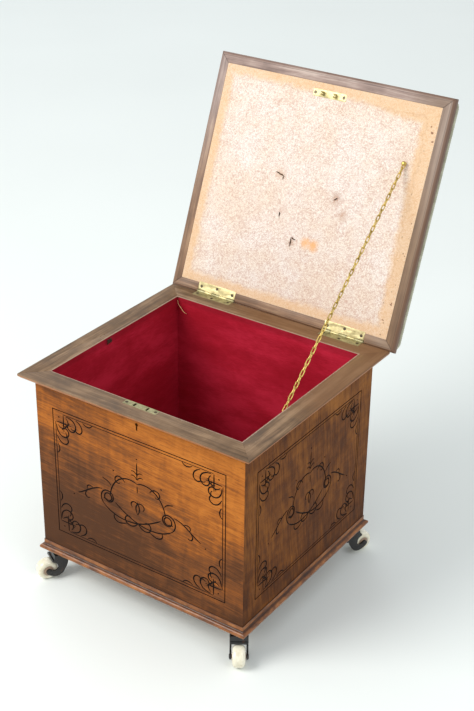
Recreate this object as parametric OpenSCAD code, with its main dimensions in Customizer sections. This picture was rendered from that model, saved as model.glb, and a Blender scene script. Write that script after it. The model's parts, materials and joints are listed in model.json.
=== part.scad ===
// Box ottoman: a square walnut-veneered box on four casters, with a hinged,
// padded lid that a brass chain holds open.
// X runs to the right along the front, Y to the back and Z up.
// The origin is on the floor under the middle of the carcase.
// At rest the lid stands open against its chain.

/* [Carcase] */
// Width of the carcase over its side panels
carcase_w = 394; // [330:2:480]
// Depth of the carcase over its front and back panels
carcase_d = 362; // [300:2:440]
// Height of the rim's top face above the floor
rim_top = 385; // [320:1:470]
// Thickness of the four panels
panel_t = 16; // [14:1:20]
// Thickness of the bottom board
bottom_t = 10; // [8:1:14]
// Width of the square corner blocks that carry the casters
block_w = 60; // [50:1:70]
// Height of the corner blocks
block_h = 24; // [20:1:32]
// Thickness of the cloth-covered lining cards
lining_t = 2; // [1.5:0.1:3]

/* [Rim and base moulding] */
// Thickness of the flat rim
rim_t = 8; // [7:0.5:12]
// How far the rim stands out past the carcase
rim_over = 19; // [12:1:26]
// Chamfer under the rim's outer edge
rim_chamfer = 4; // [1:0.5:5]
// Height of the base moulding
mould_h = 19; // [16:1:22]
// How far the base moulding stands out past the carcase
mould_out = 7; // [6.5:0.5:10]
// Radius of the bead at the foot of the base moulding
bead_r = 4.6; // [4:0.1:5]

/* [Lid] */
// Angle that the chain lets the lid open to
open_deg = 111.5; // [95:0.5:118]
// How far the lid overhangs the rim at each side
lid_over_side = 5; // [2:0.5:8]
// How far the lid overhangs the rim at the front
lid_over_front = 4; // [2:0.5:8]
// How far the lid overhangs the rim at the back, where it hides the hinge line
lid_over_back = 6; // [4:0.5:7]
// Gap between the shut lid and the rim
lid_gap = 0.6; // [0.4:0.1:1.5]
// Visible width of the lid's edge rails
rail_w = 18; // [15:1:24]
// Thickness of the lid's edge rails
rail_t = 12; // [10:1:16]
// Radius of the rails' lower outer edge
rail_round = 5; // [2:0.5:6]
// Thickness of the cloth pasted under the lid board
lid_cloth_t = 0.7; // [0.5:0.1:1.2]
// Height of the upright side of the pad
pad_side_h = 22; // [18:1:32]
// How much the middle of the pad rises above its sides
pad_crown = 15; // [8:1:24]
// Radius of the pad's corners and upper edges
pad_round = 12; // [8:1:16]
// Thickness of the braid round the foot of the pad
braid_t = 1.4; // [1:0.1:2]
// Height of the braid
braid_h = 9; // [6:0.5:12]

/* [Hinges] */
// Length of each butt hinge
hinge_len = 76; // [60:1:90]
// Distance of each hinge's middle from the lid's middle
hinge_x = 127; // [100:1:135]
// Width of a hinge leaf, from the rim's back edge
leaf_w = 14; // [12:0.5:16]
// Thickness of a hinge leaf
leaf_t = 1.3; // [1.1:0.1:1.6]
// Outer radius of the knuckles
knuckle_r = 2.3; // [2:0.1:3]
// Radius of the hinge pin
pin_r = 1.15; // [0.9:0.05:1.4]
// Number of knuckles on a hinge
knuckles = 5; // [5:2:7]

/* [Lock] */
// Distance of the lock's middle from the carcase's middle
lock_x = 2; // [-10:1:10]
// Length of the selvedge plate and of the link plate
selvedge_len = 62; // [56:1:70]
// Width of the selvedge plate
selvedge_w = 12; // [11:0.5:13]
// Thickness of the selvedge plate and of the link plate
selvedge_t = 1.8; // [1.4:0.1:2.2]
// Height of the lock case
case_h = 42; // [38:1:48]
// Distance between the two links
link_pitch = 23.4; // [20:0.2:25]
// Travel of the bolt
bolt_throw = 5; // [4:0.5:6]
// Radius of the keyhole's round head
keyhole_r = 2.75; // [2.2:0.05:3.2]
// Height of the whole keyhole
keyhole_h = 13; // [11:0.5:16]
// Depth of the keyhole's round head below the rim's top face
keyhole_drop = 25; // [23:0.5:30]

/* [Chain] */
// Wire diameter of the chain's links
wire_d = 1.6; // [1.4:0.1:2]
// Outer width of a link
link_w = 6.2; // [5.6:0.2:8]
// Number of links
link_count = 46; // [42:2:50]
// Distance of the lid's chain screw from the lid's side edge
chain_side = 58.6; // [50:0.2:70]
// Distance of the lid's chain screw from the hinge pin
chain_reach = 292; // [260:1:320]
// Position of the lower eye along the right wall
chain_eye_y = -53; // [-80:1:-20]
// Depth of the lower eye below the rim's top face
chain_eye_drop = 15; // [12:1:25]
// How far the lower eye stands off the lining
chain_eye_out = 5; // [4:0.5:8]

/* [Casters] */
// Diameter of the ceramic wheels
wheel_d = 35; // [32:0.5:40]
// Width of the wheels
wheel_w = 22; // [17:1:24]
// Distance of a wheel's axle behind its swivel pin
trail = 27; // [25:1:32]
// Distance of each swivel pin from the carcase's outer faces
pivot_inset = 18; // [17:1:26]
// Height of a caster from the floor to the corner block
caster_h = 53.5; // [52:0.5:64]
// Thickness of a fork's arms
arm_t = 3; // [2.5:0.5:5]
// Radius of the round top plate
plate_r = 19; // [18.5:0.5:22]
// Radius of the swivel pin
stem_r = 4; // [3:0.5:5]
// Radius of the axle
axle_r = 3; // [2.5:0.25:3.5]
// Directions in which the casters trail, front right first, then anticlockwise
trail_deg = [-56, 65, 150, -120];

/* [Clearances] */
// Radial clearance of a turning fit
turn_gap = 0.05; // [0.02:0.01:0.09]
// Clearance between parts that slide or swing past each other
side_gap = 0.3; // [0.2:0.05:0.6]
// Clearance round let-in fittings
let_in_gap = 0.2; // [0.1:0.05:0.4]

/* [Hidden] */
$fn = 64;
cut = 1;

// Plan: outer faces of the carcase, inner faces of the panels and of the lining
out_x = carcase_w / 2;
out_y = carcase_d / 2;
panel_x = out_x - panel_t;
panel_y = out_y - panel_t;
in_x = panel_x - lining_t;
in_y = panel_y - lining_t;
rim_x = out_x + rim_over;
rim_y = out_y + rim_over;

// Heights
base_z = caster_h;
panel_top = rim_top - rim_t;
board_z = base_z + block_h;
floor_z = board_z + bottom_t + lining_t;
lid_z = rim_top + lid_gap;
rail_top = lid_z + rail_t;
lid_board_z = lid_z + side_gap + lid_cloth_t;

// Lid outline when shut, and its hinge pin
pin_y = rim_y + knuckle_r + side_gap;
pin_z = rim_top + lid_gap / 2;
pin_out = 0.6;
lid_x = rim_x + lid_over_side;
lid_front = rim_y + lid_over_front;
lid_back = rim_y + lid_over_back;
lid_mid_y = (lid_back - lid_front) / 2;
lid_half_d = (lid_back + lid_front) / 2;

// Pad: shares of its half width where its crown is set out, and its flat middle
crown_rings = [0.45, 0.75];
crown_flat_r = 40;

// Base moulding: the fillet above its cove, and the arcs of its bead and cove
fillet_out = 1;
bead_end = 85;
cove_start = 262;

// Screws
fitting_screw_r = 1.4;
fitting_head_r = 2.7;
fitting_screw_l = 6;
hinge_screw_edge = 6;
plate_screw_r = 2;
plate_screw_head_r = 3.6;
plate_screw_l = 16;
plate_screw_reach = 14.5;
plate_turn = 30;
screw_gap = 0.02;

// Lock
link_t = 2.4;
link_d = 7.2;
link_l = 9.5;
link_eye_r = 2.2;
link_eye_z = lid_z - 5.5;
prong = 2.4;
prong_start = 0.8;
post_w = 3;
prong_l = bolt_throw + post_w + side_gap - prong_start;
bolt_t = 3;
bolt_low = link_eye_z - 18;
bolt_high = link_eye_z - 9;
stump_r = 1.5;
stump_x = lock_x - 5;
selvedge_y = -(in_y + selvedge_w / 2);
case_wall = 1.2;
case_len = link_pitch + link_t + 2 * (prong_start + prong_l + 2 * side_gap + case_wall);
case_w = selvedge_w - 0.6;
case_y = -(in_y + 0.4 + case_w / 2);
case_top = rim_top - selvedge_t;
case_bottom = rim_top - case_h;
keyhole_z = rim_top - keyhole_drop;
key_slot_w = 2.6;

// Chain ends: the lid's screw, carried back by the open lid, and the wall's eye
chain_x = lid_x - chain_side;
chain_screw_y = pin_y - chain_reach;
chain_neck_l = 5.6;
chain_neck_r = 1.2;
chain_head_r = 3.8;
chain_head_h = 2.4;
chain_hook_h = 2.2;
chain_taper_l = 0.6;
chain_shank_l = 7;
stand_z = lid_z + side_gap - chain_hook_h - pin_z;
chain_top = [chain_x,
    pin_y - chain_reach * cos(open_deg) + stand_z * sin(open_deg),
    pin_z + chain_reach * sin(open_deg) + stand_z * cos(open_deg)];
eye_r = 1.7;
eye_t = 1.6;
eye_neck_r = 0.7;
eye_collar_r = 3.4;
eye_collar_t = 0.9;
eye_shank_l = 11;
chain_eye = [in_x - chain_eye_out, chain_eye_y, rim_top - chain_eye_drop];
chain_low = chain_eye + [0, 0, eye_r + eye_t / 2];
chain_run = chain_top - chain_low;
chain_len = norm(chain_run);
chain_behind_eye = eye_t / sqrt(2) + 0.15;
chain_behind_neck = chain_neck_r / cos(30) + 0.2;
chain_screw_shank_r = 1.7;

// Casters
wheel_r = wheel_d / 2;
plate_t = 3;
race_r = 10.5;
race_t = 3.4;
crown_t = 4;
crown_top = base_z - plate_t - race_t - side_gap;
crown_low = crown_top - crown_t;
fork_gap = wheel_w / 2 + 0.5;
axle_head_r = 4;
axle_head_t = 0.8;
hub_r = 6.5;
hub_step = 0.8;
tread_r = 6;
rivet_out = 2.5;
rivet_h = 2.4;
boss_r = 5;
crown_back = 7.5;
crown_front = 16;
hood_gap = 1.5;
hood_t = 3.5;
hood_x = stem_r + rivet_out + 2 * side_gap;
heel = [trail - 27, wheel_r];
belly = [trail - 13, wheel_r - 10.5];
hook = [trail - 16, wheel_r + 5];
corners = [[1, -1], [1, 1], [-1, 1], [-1, -1]];

walnut = [0.45, 0.24, 0.12];
rim_brown = [0.47, 0.36, 0.24];
pine = [0.72, 0.56, 0.36];
crimson = [0.62, 0.08, 0.16];
brass = [0.80, 0.68, 0.38];
iron = [0.10, 0.10, 0.10];
cream = [0.90, 0.86, 0.72];
print_pink = [0.92, 0.78, 0.66];
damask = [0.80, 0.84, 0.76];

// Points of an arc, for outlines
function arc(x, y, r, from, to, n = 8) =
    [for (i = [0:n]) let (a = from + (to - from) * i / n) [x + r * cos(a), y + r * sin(a)]];

// Which sides run along X, and how a side at the back turns to each place
function is_long(side) = side == "front" || side == "back";
function turn_of(side) = side == "back" ? 0 : side == "left" ? 90 : side == "front" ? 180 : -90;

// A strip along one side of a w by d rectangle, mitred at both ends. The
// outline gives outward distance and height, and runs from "inner" to "outer".
module mitred_strip(side, w, d, inner, outer, outline) {
    half_l = (is_long(side) ? w : d) / 2;
    half_o = (is_long(side) ? d : w) / 2;
    near = half_l - half_o + inner;
    far = half_l - half_o + outer;
    rotate([0, 0, turn_of(side)])
        intersection() {
            rotate([90, 0, 90])
                linear_extrude(2 * far + 2 * cut, center = true)
                    polygon(outline);
            linear_extrude(2 * rim_top)
                polygon([[-near, inner], [near, inner], [far, outer], [-far, outer]]);
        }
}

// Everything on the lid is laid out shut and then swung open on the hinge pin
module opened() {
    translate([0, pin_y, pin_z])
        rotate([-open_deg, 0, 0])
            translate([0, -pin_y, -pin_z])
                children();
}

// Countersunk screw pointing up, with its flat head's face at the origin
module screw_up(r, head_r, len) {
    head_t = head_r - r;
    rotate_extrude()
        polygon([[0, 0], [head_r, 0], [r, head_t], [r, len - r], [0, len]]);
}

// The hole that such a screw fills
module screw_hole(r, head_r, len) {
    head_t = head_r - r;
    g = screw_gap;
    rotate_extrude()
        polygon([[0, -cut], [head_r + g, -cut], [head_r + g, 0], [r + g, head_t],
            [r + g, len + side_gap], [0, len + side_gap]]);
}

module fitting_hole() { screw_hole(fitting_screw_r, fitting_head_r, fitting_screw_l); }

// ---- Carcase ----

module panel(side) {
    b = is_long(side) ? out_y : out_x;
    mitred_strip(side, carcase_w, carcase_d, b - panel_t, b,
        [[b - panel_t, base_z], [b, base_z], [b, panel_top], [b - panel_t, panel_top]]);
}

module caster_screw_holes() {
    at_caster_pivots()
        plate_screw_places()
            translate([0, 0, base_z - plate_t])
                screw_hole(plate_screw_r, plate_screw_head_r, plate_screw_l);
}

module front_panel() {
    color(walnut)
        difference() {
            panel("front");
            lock_mortise();
            keyhole(out_y + cut);
            caster_screw_holes();
        }
}

module back_panel() {
    color(walnut)
        difference() {
            panel("back");
            caster_screw_holes();
        }
}

module left_panel() {
    color(walnut)
        difference() {
            panel("left");
            caster_screw_holes();
        }
}

module right_panel() {
    color(walnut)
        difference() {
            panel("right");
            caster_screw_holes();
            chain_eye_hole();
        }
}

module bottom_board() {
    color(pine)
        translate([-panel_x, -panel_y, board_z])
            cube([2 * panel_x, 2 * panel_y, bottom_t]);
}

module corner_blocks() {
    color(pine)
        difference() {
            for (c = corners)
                translate([c[0] * (panel_x - block_w / 2), c[1] * (panel_y - block_w / 2),
                    base_z + block_h / 2])
                    cube([block_w, block_w, block_h], center = true);
            caster_screw_holes();
        }
}

// ---- Rim ----

module rim(side) {
    b = is_long(side) ? rim_y : rim_x;
    i = is_long(side) ? in_y : in_x;
    mitred_strip(side, 2 * rim_x, 2 * rim_y, i, b,
        [[i, panel_top], [b - rim_chamfer, panel_top], [b, panel_top + rim_chamfer],
            [b, rim_top - 0.6], [b - 0.6, rim_top], [i, rim_top]]);
}

module rim_front() {
    color(rim_brown)
        difference() {
            rim("front");
            lock_mortise();
            selvedge_recess();
        }
}

module rim_back() {
    color(rim_brown)
        difference() {
            rim("back");
            for (s = [-1, 1])
                hinge_recess(s, rim_top - leaf_t);
            hinge_places()
                translate([0, 0, rim_top])
                    mirror([0, 0, 1])
                        fitting_hole();
        }
}

module rim_left() {
    color(rim_brown)
        rim("left");
}

module rim_right() {
    color(rim_brown)
        rim("right");
}

// ---- Base moulding: a bead below a cove ----

module base_moulding(side) {
    b = is_long(side) ? out_y : out_x;
    bead_x = b + mould_out - bead_r;
    bead_z = base_z + bead_r;
    cove_r = (mould_out - bead_r + bead_r * cos(bead_end) - fillet_out) / (1 + cos(cove_start));
    cove_x = b + fillet_out + cove_r;
    cove_z = bead_z + bead_r * sin(bead_end) - cove_r * sin(cove_start);
    outline = concat([[b, base_z]],
        arc(bead_x, bead_z, bead_r, -90, bead_end),
        arc(cove_x, cove_z, cove_r, cove_start, 180),
        [[b + fillet_out, base_z + mould_h], [b, base_z + mould_h]]);
    color(walnut)
        mitred_strip(side, carcase_w, carcase_d, b, b + mould_out, outline);
}

module base_moulding_front() { base_moulding("front"); }
module base_moulding_back() { base_moulding("back"); }
module base_moulding_left() { base_moulding("left"); }
module base_moulding_right() { base_moulding("right"); }

// ---- Crimson lining cards ----

module lining(side) {
    b = is_long(side) ? panel_y : panel_x;
    mitred_strip(side, 2 * panel_x, 2 * panel_y, b - lining_t, b,
        [[b - lining_t, floor_z], [b, floor_z], [b, panel_top], [b - lining_t, panel_top]]);
}

module lining_front() {
    color(crimson)
        difference() {
            lining("front");
            translate([lock_x - case_len / 2 - 2 * let_in_gap, -panel_y - cut,
                case_bottom - 2 * let_in_gap])
                cube([case_len + 4 * let_in_gap, lining_t + 2 * cut, case_h + cut]);
        }
}

module lining_back() {
    color(crimson)
        lining("back");
}

module lining_left() {
    color(crimson)
        lining("left");
}

module lining_right() {
    color(crimson)
        difference() {
            lining("right");
            chain_eye_hole();
        }
}

module lining_floor() {
    color(crimson)
        translate([-panel_x, -panel_y, floor_z - lining_t])
            cube([2 * panel_x, 2 * panel_y, lining_t]);
}

// ---- Lock ----

module lock_mortise() {
    g = let_in_gap;
    translate([lock_x - case_len / 2 - g, case_y - case_w / 2 - g, case_bottom - g])
        cube([case_len + 2 * g, case_w + g + 10, case_h + cut]);
}

module selvedge_recess() {
    g = let_in_gap;
    translate([lock_x - selvedge_len / 2 - g, selvedge_y - selvedge_w / 2 - g, case_top])
        cube([selvedge_len + 2 * g, selvedge_w + g + cut, selvedge_t + cut]);
    lock_screw_places()
        translate([0, 0, rim_top])
            mirror([0, 0, 1])
                fitting_hole();
}

// A round head over a straight slot, from the outer face inwards
module keyhole(depth) {
    translate([lock_x, -depth, keyhole_z])
        rotate([-90, 0, 0])
            cylinder(r = keyhole_r, h = depth + case_y);
    translate([lock_x - key_slot_w / 2, -depth, keyhole_z - keyhole_h + keyhole_r])
        cube([key_slot_w, depth + case_y, keyhole_h - keyhole_r]);
}

module lock_screw_places() {
    for (s = [-1, 1])
        translate([lock_x + s * (selvedge_len / 2 - 4), selvedge_y, 0])
            children();
}

module lock_case() {
    color(brass)
        difference() {
            translate([lock_x - case_len / 2, case_y - case_w / 2, case_bottom])
                cube([case_len, case_w, case_top - case_bottom]);
            translate([lock_x - case_len / 2 + case_wall, case_y - case_w / 2 + case_wall,
                case_bottom + case_wall])
                cube([case_len - 2 * case_wall, case_w - 2 * case_wall, case_h]);
            keyhole(out_y + cut);
        }
    color(brass)
        translate([stump_x, case_y + case_w / 2 - case_wall, (bolt_low + bolt_high) / 2])
            rotate([90, 0, 0])
                cylinder(r = stump_r, h = case_w / 2 - case_wall + bolt_t / 2 + 1);
}

module lock_selvedge() {
    g = side_gap;
    color(brass)
        difference() {
            translate([lock_x - selvedge_len / 2, selvedge_y - selvedge_w / 2, case_top])
                cube([selvedge_len, selvedge_w, selvedge_t]);
            for (s = [-1, 1])
                translate([lock_x + s * link_pitch / 2, selvedge_y, rim_top])
                    cube([link_t + 4 * g, link_d + 4 * g, 3 * selvedge_t], center = true);
            lock_screw_places()
                translate([0, 0, rim_top])
                    mirror([0, 0, 1])
                        fitting_hole();
        }
}

// The bolt's two prongs shoot sideways through the links of the shut lid
module lock_bolt() {
    tip = [for (s = [-1, 1]) lock_x + s * link_pitch / 2 - link_t / 2 - prong_start];
    left = tip[0] - prong_l;
    right = tip[1] + 3;
    low = link_eye_z - prong / 2;
    high = link_eye_z + prong / 2;
    outline = [[left, bolt_low], [lock_x + 3, bolt_low], [lock_x + 4, bolt_low + 3],
        [lock_x + 8, bolt_low + 3], [lock_x + 9, bolt_low], [right, bolt_low],
        [right, bolt_high],
        [tip[1] - prong_l + post_w, bolt_high], [tip[1] - prong_l + post_w, low],
        [tip[1], low], [tip[1], high], [tip[1] - prong_l, high],
        [tip[1] - prong_l, bolt_high],
        [left + post_w, bolt_high], [left + post_w, low],
        [tip[0], low], [tip[0], high], [left, high]];
    slot_r = stump_r + side_gap;
    color(brass)
        difference() {
            translate([0, selvedge_y + bolt_t / 2, 0])
                rotate([90, 0, 0])
                    linear_extrude(bolt_t)
                        polygon(outline);
            translate([stump_x - bolt_throw - slot_r, selvedge_y - bolt_t,
                (bolt_low + bolt_high) / 2 - slot_r])
                cube([bolt_throw + 2 * slot_r, 2 * bolt_t, 2 * slot_r]);
        }
}

// ---- Hinges ----

module hinge_places() {
    for (s = [-1, 1])
        for (i = [-1, 0, 1])
            translate([s * hinge_x + i * (hinge_len / 2 - hinge_screw_edge),
                pin_y - knuckle_r - side_gap - leaf_w / 2 - (i == 0 ? 2 : -1), 0])
                children();
}

module hinge_recess(s, z) {
    g = let_in_gap;
    translate([s * hinge_x - hinge_len / 2 - g, rim_y - leaf_w - g, z])
        cube([hinge_len + 2 * g, leaf_w + g + cut, leaf_t + cut]);
}

// Room for the leaf and the knuckles in the lid, which overhangs them
module lid_hinge_recess() {
    half_l = hinge_len / 2 + pin_out + side_gap;
    for (s = [-1, 1]) {
        hinge_recess(s, lid_z - cut);
        translate([s * hinge_x - half_l, rim_y - let_in_gap, lid_z - cut])
            cube([2 * half_l, lid_over_back + let_in_gap + cut,
                pin_z + knuckle_r + side_gap - lid_z + cut]);
    }
}

// One leaf, with every second knuckle starting at number "first"
module hinge_leaf(s, first, z) {
    pitch = hinge_len / knuckles;
    start = s * hinge_x - hinge_len / 2;
    reach = knuckle_r + side_gap;
    difference() {
        union() {
            translate([start, rim_y - leaf_w, z])
                cube([hinge_len, pin_y - reach - rim_y + leaf_w, leaf_t]);
            for (k = [first:2:knuckles - 1]) {
                x = start + k * pitch + side_gap / 2;
                translate([x, pin_y - reach - 0.5, z])
                    cube([pitch - side_gap, reach - 0.3, leaf_t]);
                translate([x, pin_y, pin_z])
                    rotate([0, 90, 0])
                        cylinder(r = knuckle_r, h = pitch - side_gap);
            }
        }
        translate([start - cut, pin_y, pin_z])
            rotate([0, 90, 0])
                cylinder(r = pin_r + turn_gap, h = hinge_len + 2 * cut);
    }
}

module hinge_box_leaf(s) {
    color(brass)
        difference() {
            hinge_leaf(s, 0, rim_top - leaf_t);
            hinge_places()
                translate([0, 0, rim_top])
                    mirror([0, 0, 1])
                        fitting_hole();
        }
}

module hinge_lid_leaf(s) {
    color(brass)
        opened()
            difference() {
                hinge_leaf(s, 1, lid_z);
                hinge_places()
                    translate([0, 0, lid_z])
                        fitting_hole();
            }
}

module hinge_box_leaf_left() { hinge_box_leaf(-1); }
module hinge_box_leaf_right() { hinge_box_leaf(1); }
module hinge_lid_leaf_left() { hinge_lid_leaf(-1); }
module hinge_lid_leaf_right() { hinge_lid_leaf(1); }

module hinge_pins() {
    color(brass)
        for (s = [-1, 1])
            translate([s * hinge_x - hinge_len / 2 - pin_out, pin_y, pin_z])
                rotate([0, 90, 0])
                    cylinder(r = pin_r, h = hinge_len + 2 * pin_out);
}

module fitting_screw() { screw_up(fitting_screw_r, fitting_head_r, fitting_screw_l); }

// The screws of the box leaves and of the selvedge, pointing down
module box_screws() {
    color(brass)
        translate([0, 0, rim_top])
            mirror([0, 0, 1]) {
                hinge_places()
                    fitting_screw();
                lock_screw_places()
                    fitting_screw();
            }
}

// The screws of the lid leaves and of the link plate, pointing into the lid
module lid_screws() {
    color(brass)
        opened()
            translate([0, 0, lid_z]) {
                hinge_places()
                    fitting_screw();
                lock_screw_places()
                    fitting_screw();
            }
}

// ---- Lid ----

module lid_rail(side) {
    b = is_long(side) ? lid_half_d : lid_x;
    outline = concat([[b - rail_w, lid_z]],
        arc(b - rail_round, lid_z + rail_round, rail_round, -90, 0, 6),
        [[b, rail_top - 1], [b - 1, rail_top], [b - rail_w, rail_top]]);
    translate([0, lid_mid_y, 0])
        mitred_strip(side, 2 * lid_x, 2 * lid_half_d, b - rail_w, b, outline);
}

module lid_rail_front() {
    color(walnut)
        opened()
            lid_rail("front");
}

module lid_rail_back() {
    color(walnut)
        opened()
            difference() {
                lid_rail("back");
                lid_hinge_recess();
                hinge_places()
                    translate([0, 0, lid_z])
                        fitting_hole();
            }
}

module lid_rail_left() {
    color(walnut)
        opened()
            lid_rail("left");
}

module lid_rail_right() {
    color(walnut)
        opened()
            lid_rail("right");
}

// Flat sheet inside the rails, between two heights
module inside_rails(low, high, g) {
    x = lid_x - rail_w - g;
    y = lid_half_d - rail_w - g;
    translate([-x, lid_mid_y - y, low])
        cube([2 * x, 2 * y, high - low]);
}

module link_plate_recess() {
    g = let_in_gap;
    translate([lock_x - selvedge_len / 2 - g, selvedge_y - selvedge_w / 2 - g, lid_z - cut])
        cube([selvedge_len + 2 * g, selvedge_w + 2 * g, selvedge_t + cut]);
    lock_screw_places()
        translate([0, 0, lid_z])
            fitting_hole();
}

module lid_board() {
    color(pine)
        opened()
            difference() {
                inside_rails(lid_board_z, rail_top, 0);
                lid_hinge_recess();
                link_plate_recess();
                chain_screw_hole();
            }
}

module lid_cloth() {
    color(print_pink)
        opened()
            difference() {
                inside_rails(lid_board_z - lid_cloth_t, lid_board_z, 0);
                lid_hinge_recess();
                link_plate_recess();
                chain_screw_hole();
            }
}

// Stuffed pad with upright sides and a crowned top
module lid_pad() {
    r = pad_round;
    low = rail_top + side_gap;
    x = lid_x - braid_t - 1;
    y = lid_half_d - braid_t - 1;
    color(damask)
        opened()
            translate([0, lid_mid_y, low])
                hull() {
                    for (sx = [-1, 1])
                        for (sy = [-1, 1])
                            translate([sx * (x - r), sy * (y - r), 0]) {
                                cylinder(r = r, h = 1, $fn = 32);
                                translate([0, 0, pad_side_h - r])
                                    rotate_extrude($fn = 32)
                                        polygon(concat([[0, 0]], arc(0, 0, r, 0, 90, 6)));
                            }
                    for (k = crown_rings)
                        translate([0, 0, pad_side_h + pad_crown * (1 - k * k) - 1])
                            linear_extrude(1)
                                scale([1, y / x])
                                    circle(r = k * (x - r), $fn = 32);
                    translate([0, 0, pad_side_h + pad_crown - 1])
                        cylinder(r = crown_flat_r, h = 1, $fn = 32);
                }
}

// Braid that covers the tacks round the foot of the pad
module lid_braid() {
    low = rail_top + side_gap;
    r = pad_round + braid_t + side_gap;
    x = lid_x - 1 + side_gap;
    y = lid_half_d - 1 + side_gap;
    color(damask)
        opened()
            translate([0, lid_mid_y, low])
                difference() {
                    linear_extrude(braid_h)
                        round_corners(x, y, r);
                    translate([0, 0, -cut])
                        linear_extrude(braid_h + 2 * cut)
                            round_corners(x - braid_t, y - braid_t, r - braid_t);
                }
}

module round_corners(x, y, r) {
    polygon(concat(
        arc(x - r, y - r, r, 0, 90), arc(r - x, y - r, r, 90, 180),
        arc(r - x, r - y, r, 180, 270), arc(x - r, r - y, r, 270, 360)));
}

// Plate under the lid with the two links that the bolt locks
module lock_link_plate() {
    outline = concat([[-link_d / 2, 0]],
        arc(0, link_d / 2 - link_l, link_d / 2, 180, 360, 12),
        [[link_d / 2, 0]]);
    color(brass)
        opened()
            difference() {
                union() {
                    translate([lock_x - selvedge_len / 2, selvedge_y - selvedge_w / 2, lid_z])
                        cube([selvedge_len, selvedge_w, selvedge_t]);
                    for (s = [-1, 1])
                        translate([lock_x + s * link_pitch / 2 - link_t / 2, selvedge_y,
                            lid_z + 0.5])
                            rotate([90, 0, 90])
                                linear_extrude(link_t)
                                    polygon(outline);
                }
                translate([lock_x - link_pitch, selvedge_y, link_eye_z])
                    rotate([0, 90, 0])
                        cylinder(r = link_eye_r, h = 2 * link_pitch);
                lock_screw_places()
                    translate([0, 0, lid_z])
                        fitting_hole();
            }
}

// ---- Chain ----

module chain_screw_hole() {
    translate([chain_x, chain_screw_y, lid_z - cut])
        cylinder(r = chain_screw_shank_r + screw_gap, h = 10);
}

// Round-headed screw that stands off the lid and holds the chain's end link
module chain_lid_screw() {
    face = lid_z + side_gap;
    color(brass)
        opened()
            translate([chain_x, chain_screw_y, face - chain_neck_l])
                rotate_extrude()
                    polygon(concat([[0, -chain_head_h]],
                        [for (a = [75:-15:0]) [chain_head_r * cos(a), -chain_head_h * sin(a)]],
                        [[chain_neck_r, 0], [chain_neck_r, chain_neck_l],
                            [chain_screw_shank_r, chain_neck_l + chain_taper_l],
                            [chain_screw_shank_r, chain_neck_l + chain_shank_l],
                            [0, chain_neck_l + chain_shank_l + 1]]));
}

module chain_eye_hole() {
    translate([in_x - cut, chain_eye[1], chain_eye[2]])
        rotate([0, 90, 0])
            cylinder(r = chain_screw_shank_r + screw_gap, h = 12 + cut);
}

// Screw eye in the right wall, just under the rim
module chain_wall_eye() {
    ring_r = eye_r + eye_t;
    color(brass) {
        difference() {
            translate(chain_eye)
                rotate([90, 0, 0])
                    cylinder(r = ring_r, h = eye_t, center = true);
            translate(chain_eye)
                rotate([90, 0, 0])
                    cylinder(r = eye_r, h = 2 * eye_t, center = true);
        }
        translate([chain_eye[0] + eye_r + side_gap, chain_eye[1], chain_eye[2]])
            rotate([0, 90, 0])
                cylinder(r = eye_neck_r, h = chain_eye_out - eye_r);
        translate([in_x - eye_collar_t, chain_eye[1], chain_eye[2]])
            rotate([0, 90, 0])
                cylinder(r = eye_collar_r, h = eye_collar_t);
        translate([in_x - 0.2, chain_eye[1], chain_eye[2]])
            rotate([0, 90, 0])
                cylinder(r = chain_screw_shank_r, h = eye_shank_l);
    }
}

// Oval wire link along X, flat in the XY plane, of inner length "inside"
module chain_link(inside) {
    bend_r = (link_w - wire_d) / 2;
    straight = inside + wire_d - 2 * bend_r;
    for (s = [-1, 1]) {
        translate([s * straight / 2, 0, 0])
            rotate([0, 0, s > 0 ? -90 : 90])
                rotate_extrude(angle = 180)
                    translate([bend_r, 0])
                        circle(d = wire_d, $fn = 24);
        translate([-straight / 2, s * bend_r, 0])
            rotate([0, 90, 0])
                cylinder(d = wire_d, h = straight, $fn = 24);
    }
}

// Links alternate upright and flat: the first hangs in the wall's eye and the
// last lies round the neck of the lid's screw
module stay_chain() {
    slack = 0.1;
    pitch = (chain_len + chain_behind_eye + chain_behind_neck - slack) / link_count;
    inside = pitch + slack;
    aim_z = atan2(chain_run[1], chain_run[0]);
    aim_y = -asin(chain_run[2] / chain_len);
    color(brass)
        translate(chain_low)
            rotate([0, aim_y, aim_z])
                for (i = [0:link_count - 1])
                    translate([i * pitch + inside / 2 - chain_behind_eye, 0, 0])
                        rotate([i % 2 == 0 ? 90 : 0, 0, 0])
                            chain_link(inside);
}

// ---- Casters ----

module at_caster_pivots() {
    for (c = corners)
        translate([c[0] * (out_x - pivot_inset), c[1] * (out_y - pivot_inset), 0])
            children();
}

// One caster's own frame: swivel pin on Z, trailing along X
module at_caster(i) {
    c = corners[i];
    translate([c[0] * (out_x - pivot_inset), c[1] * (out_y - pivot_inset), 0])
        rotate([0, 0, trail_deg[i]])
            children();
}

module plate_screw_places() {
    for (a = [0:90:270])
        rotate([0, 0, plate_turn + a])
            translate([plate_screw_reach, 0, 0])
                children();
}

// Round plate with its ball race and the swivel pin riveted under the fork
module caster_plates() {
    color(iron)
        difference() {
            at_caster_pivots()
                rotate_extrude()
                    polygon([[0, base_z], [plate_r, base_z], [plate_r, base_z - plate_t],
                        [race_r, base_z - plate_t], [race_r, crown_top + side_gap],
                        [stem_r, crown_top + side_gap], [stem_r, crown_low - side_gap],
                        [stem_r + rivet_out, crown_low - side_gap],
                        [stem_r + rivet_out - 0.5, crown_low - side_gap - rivet_h + 0.4],
                        [0, crown_low - side_gap - rivet_h]]);
            caster_screw_holes();
        }
}

module caster_screws() {
    color(iron)
        at_caster_pivots()
            plate_screw_places()
                translate([0, 0, base_z - plate_t])
                    screw_up(plate_screw_r, plate_screw_head_r, plate_screw_l);
}

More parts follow.
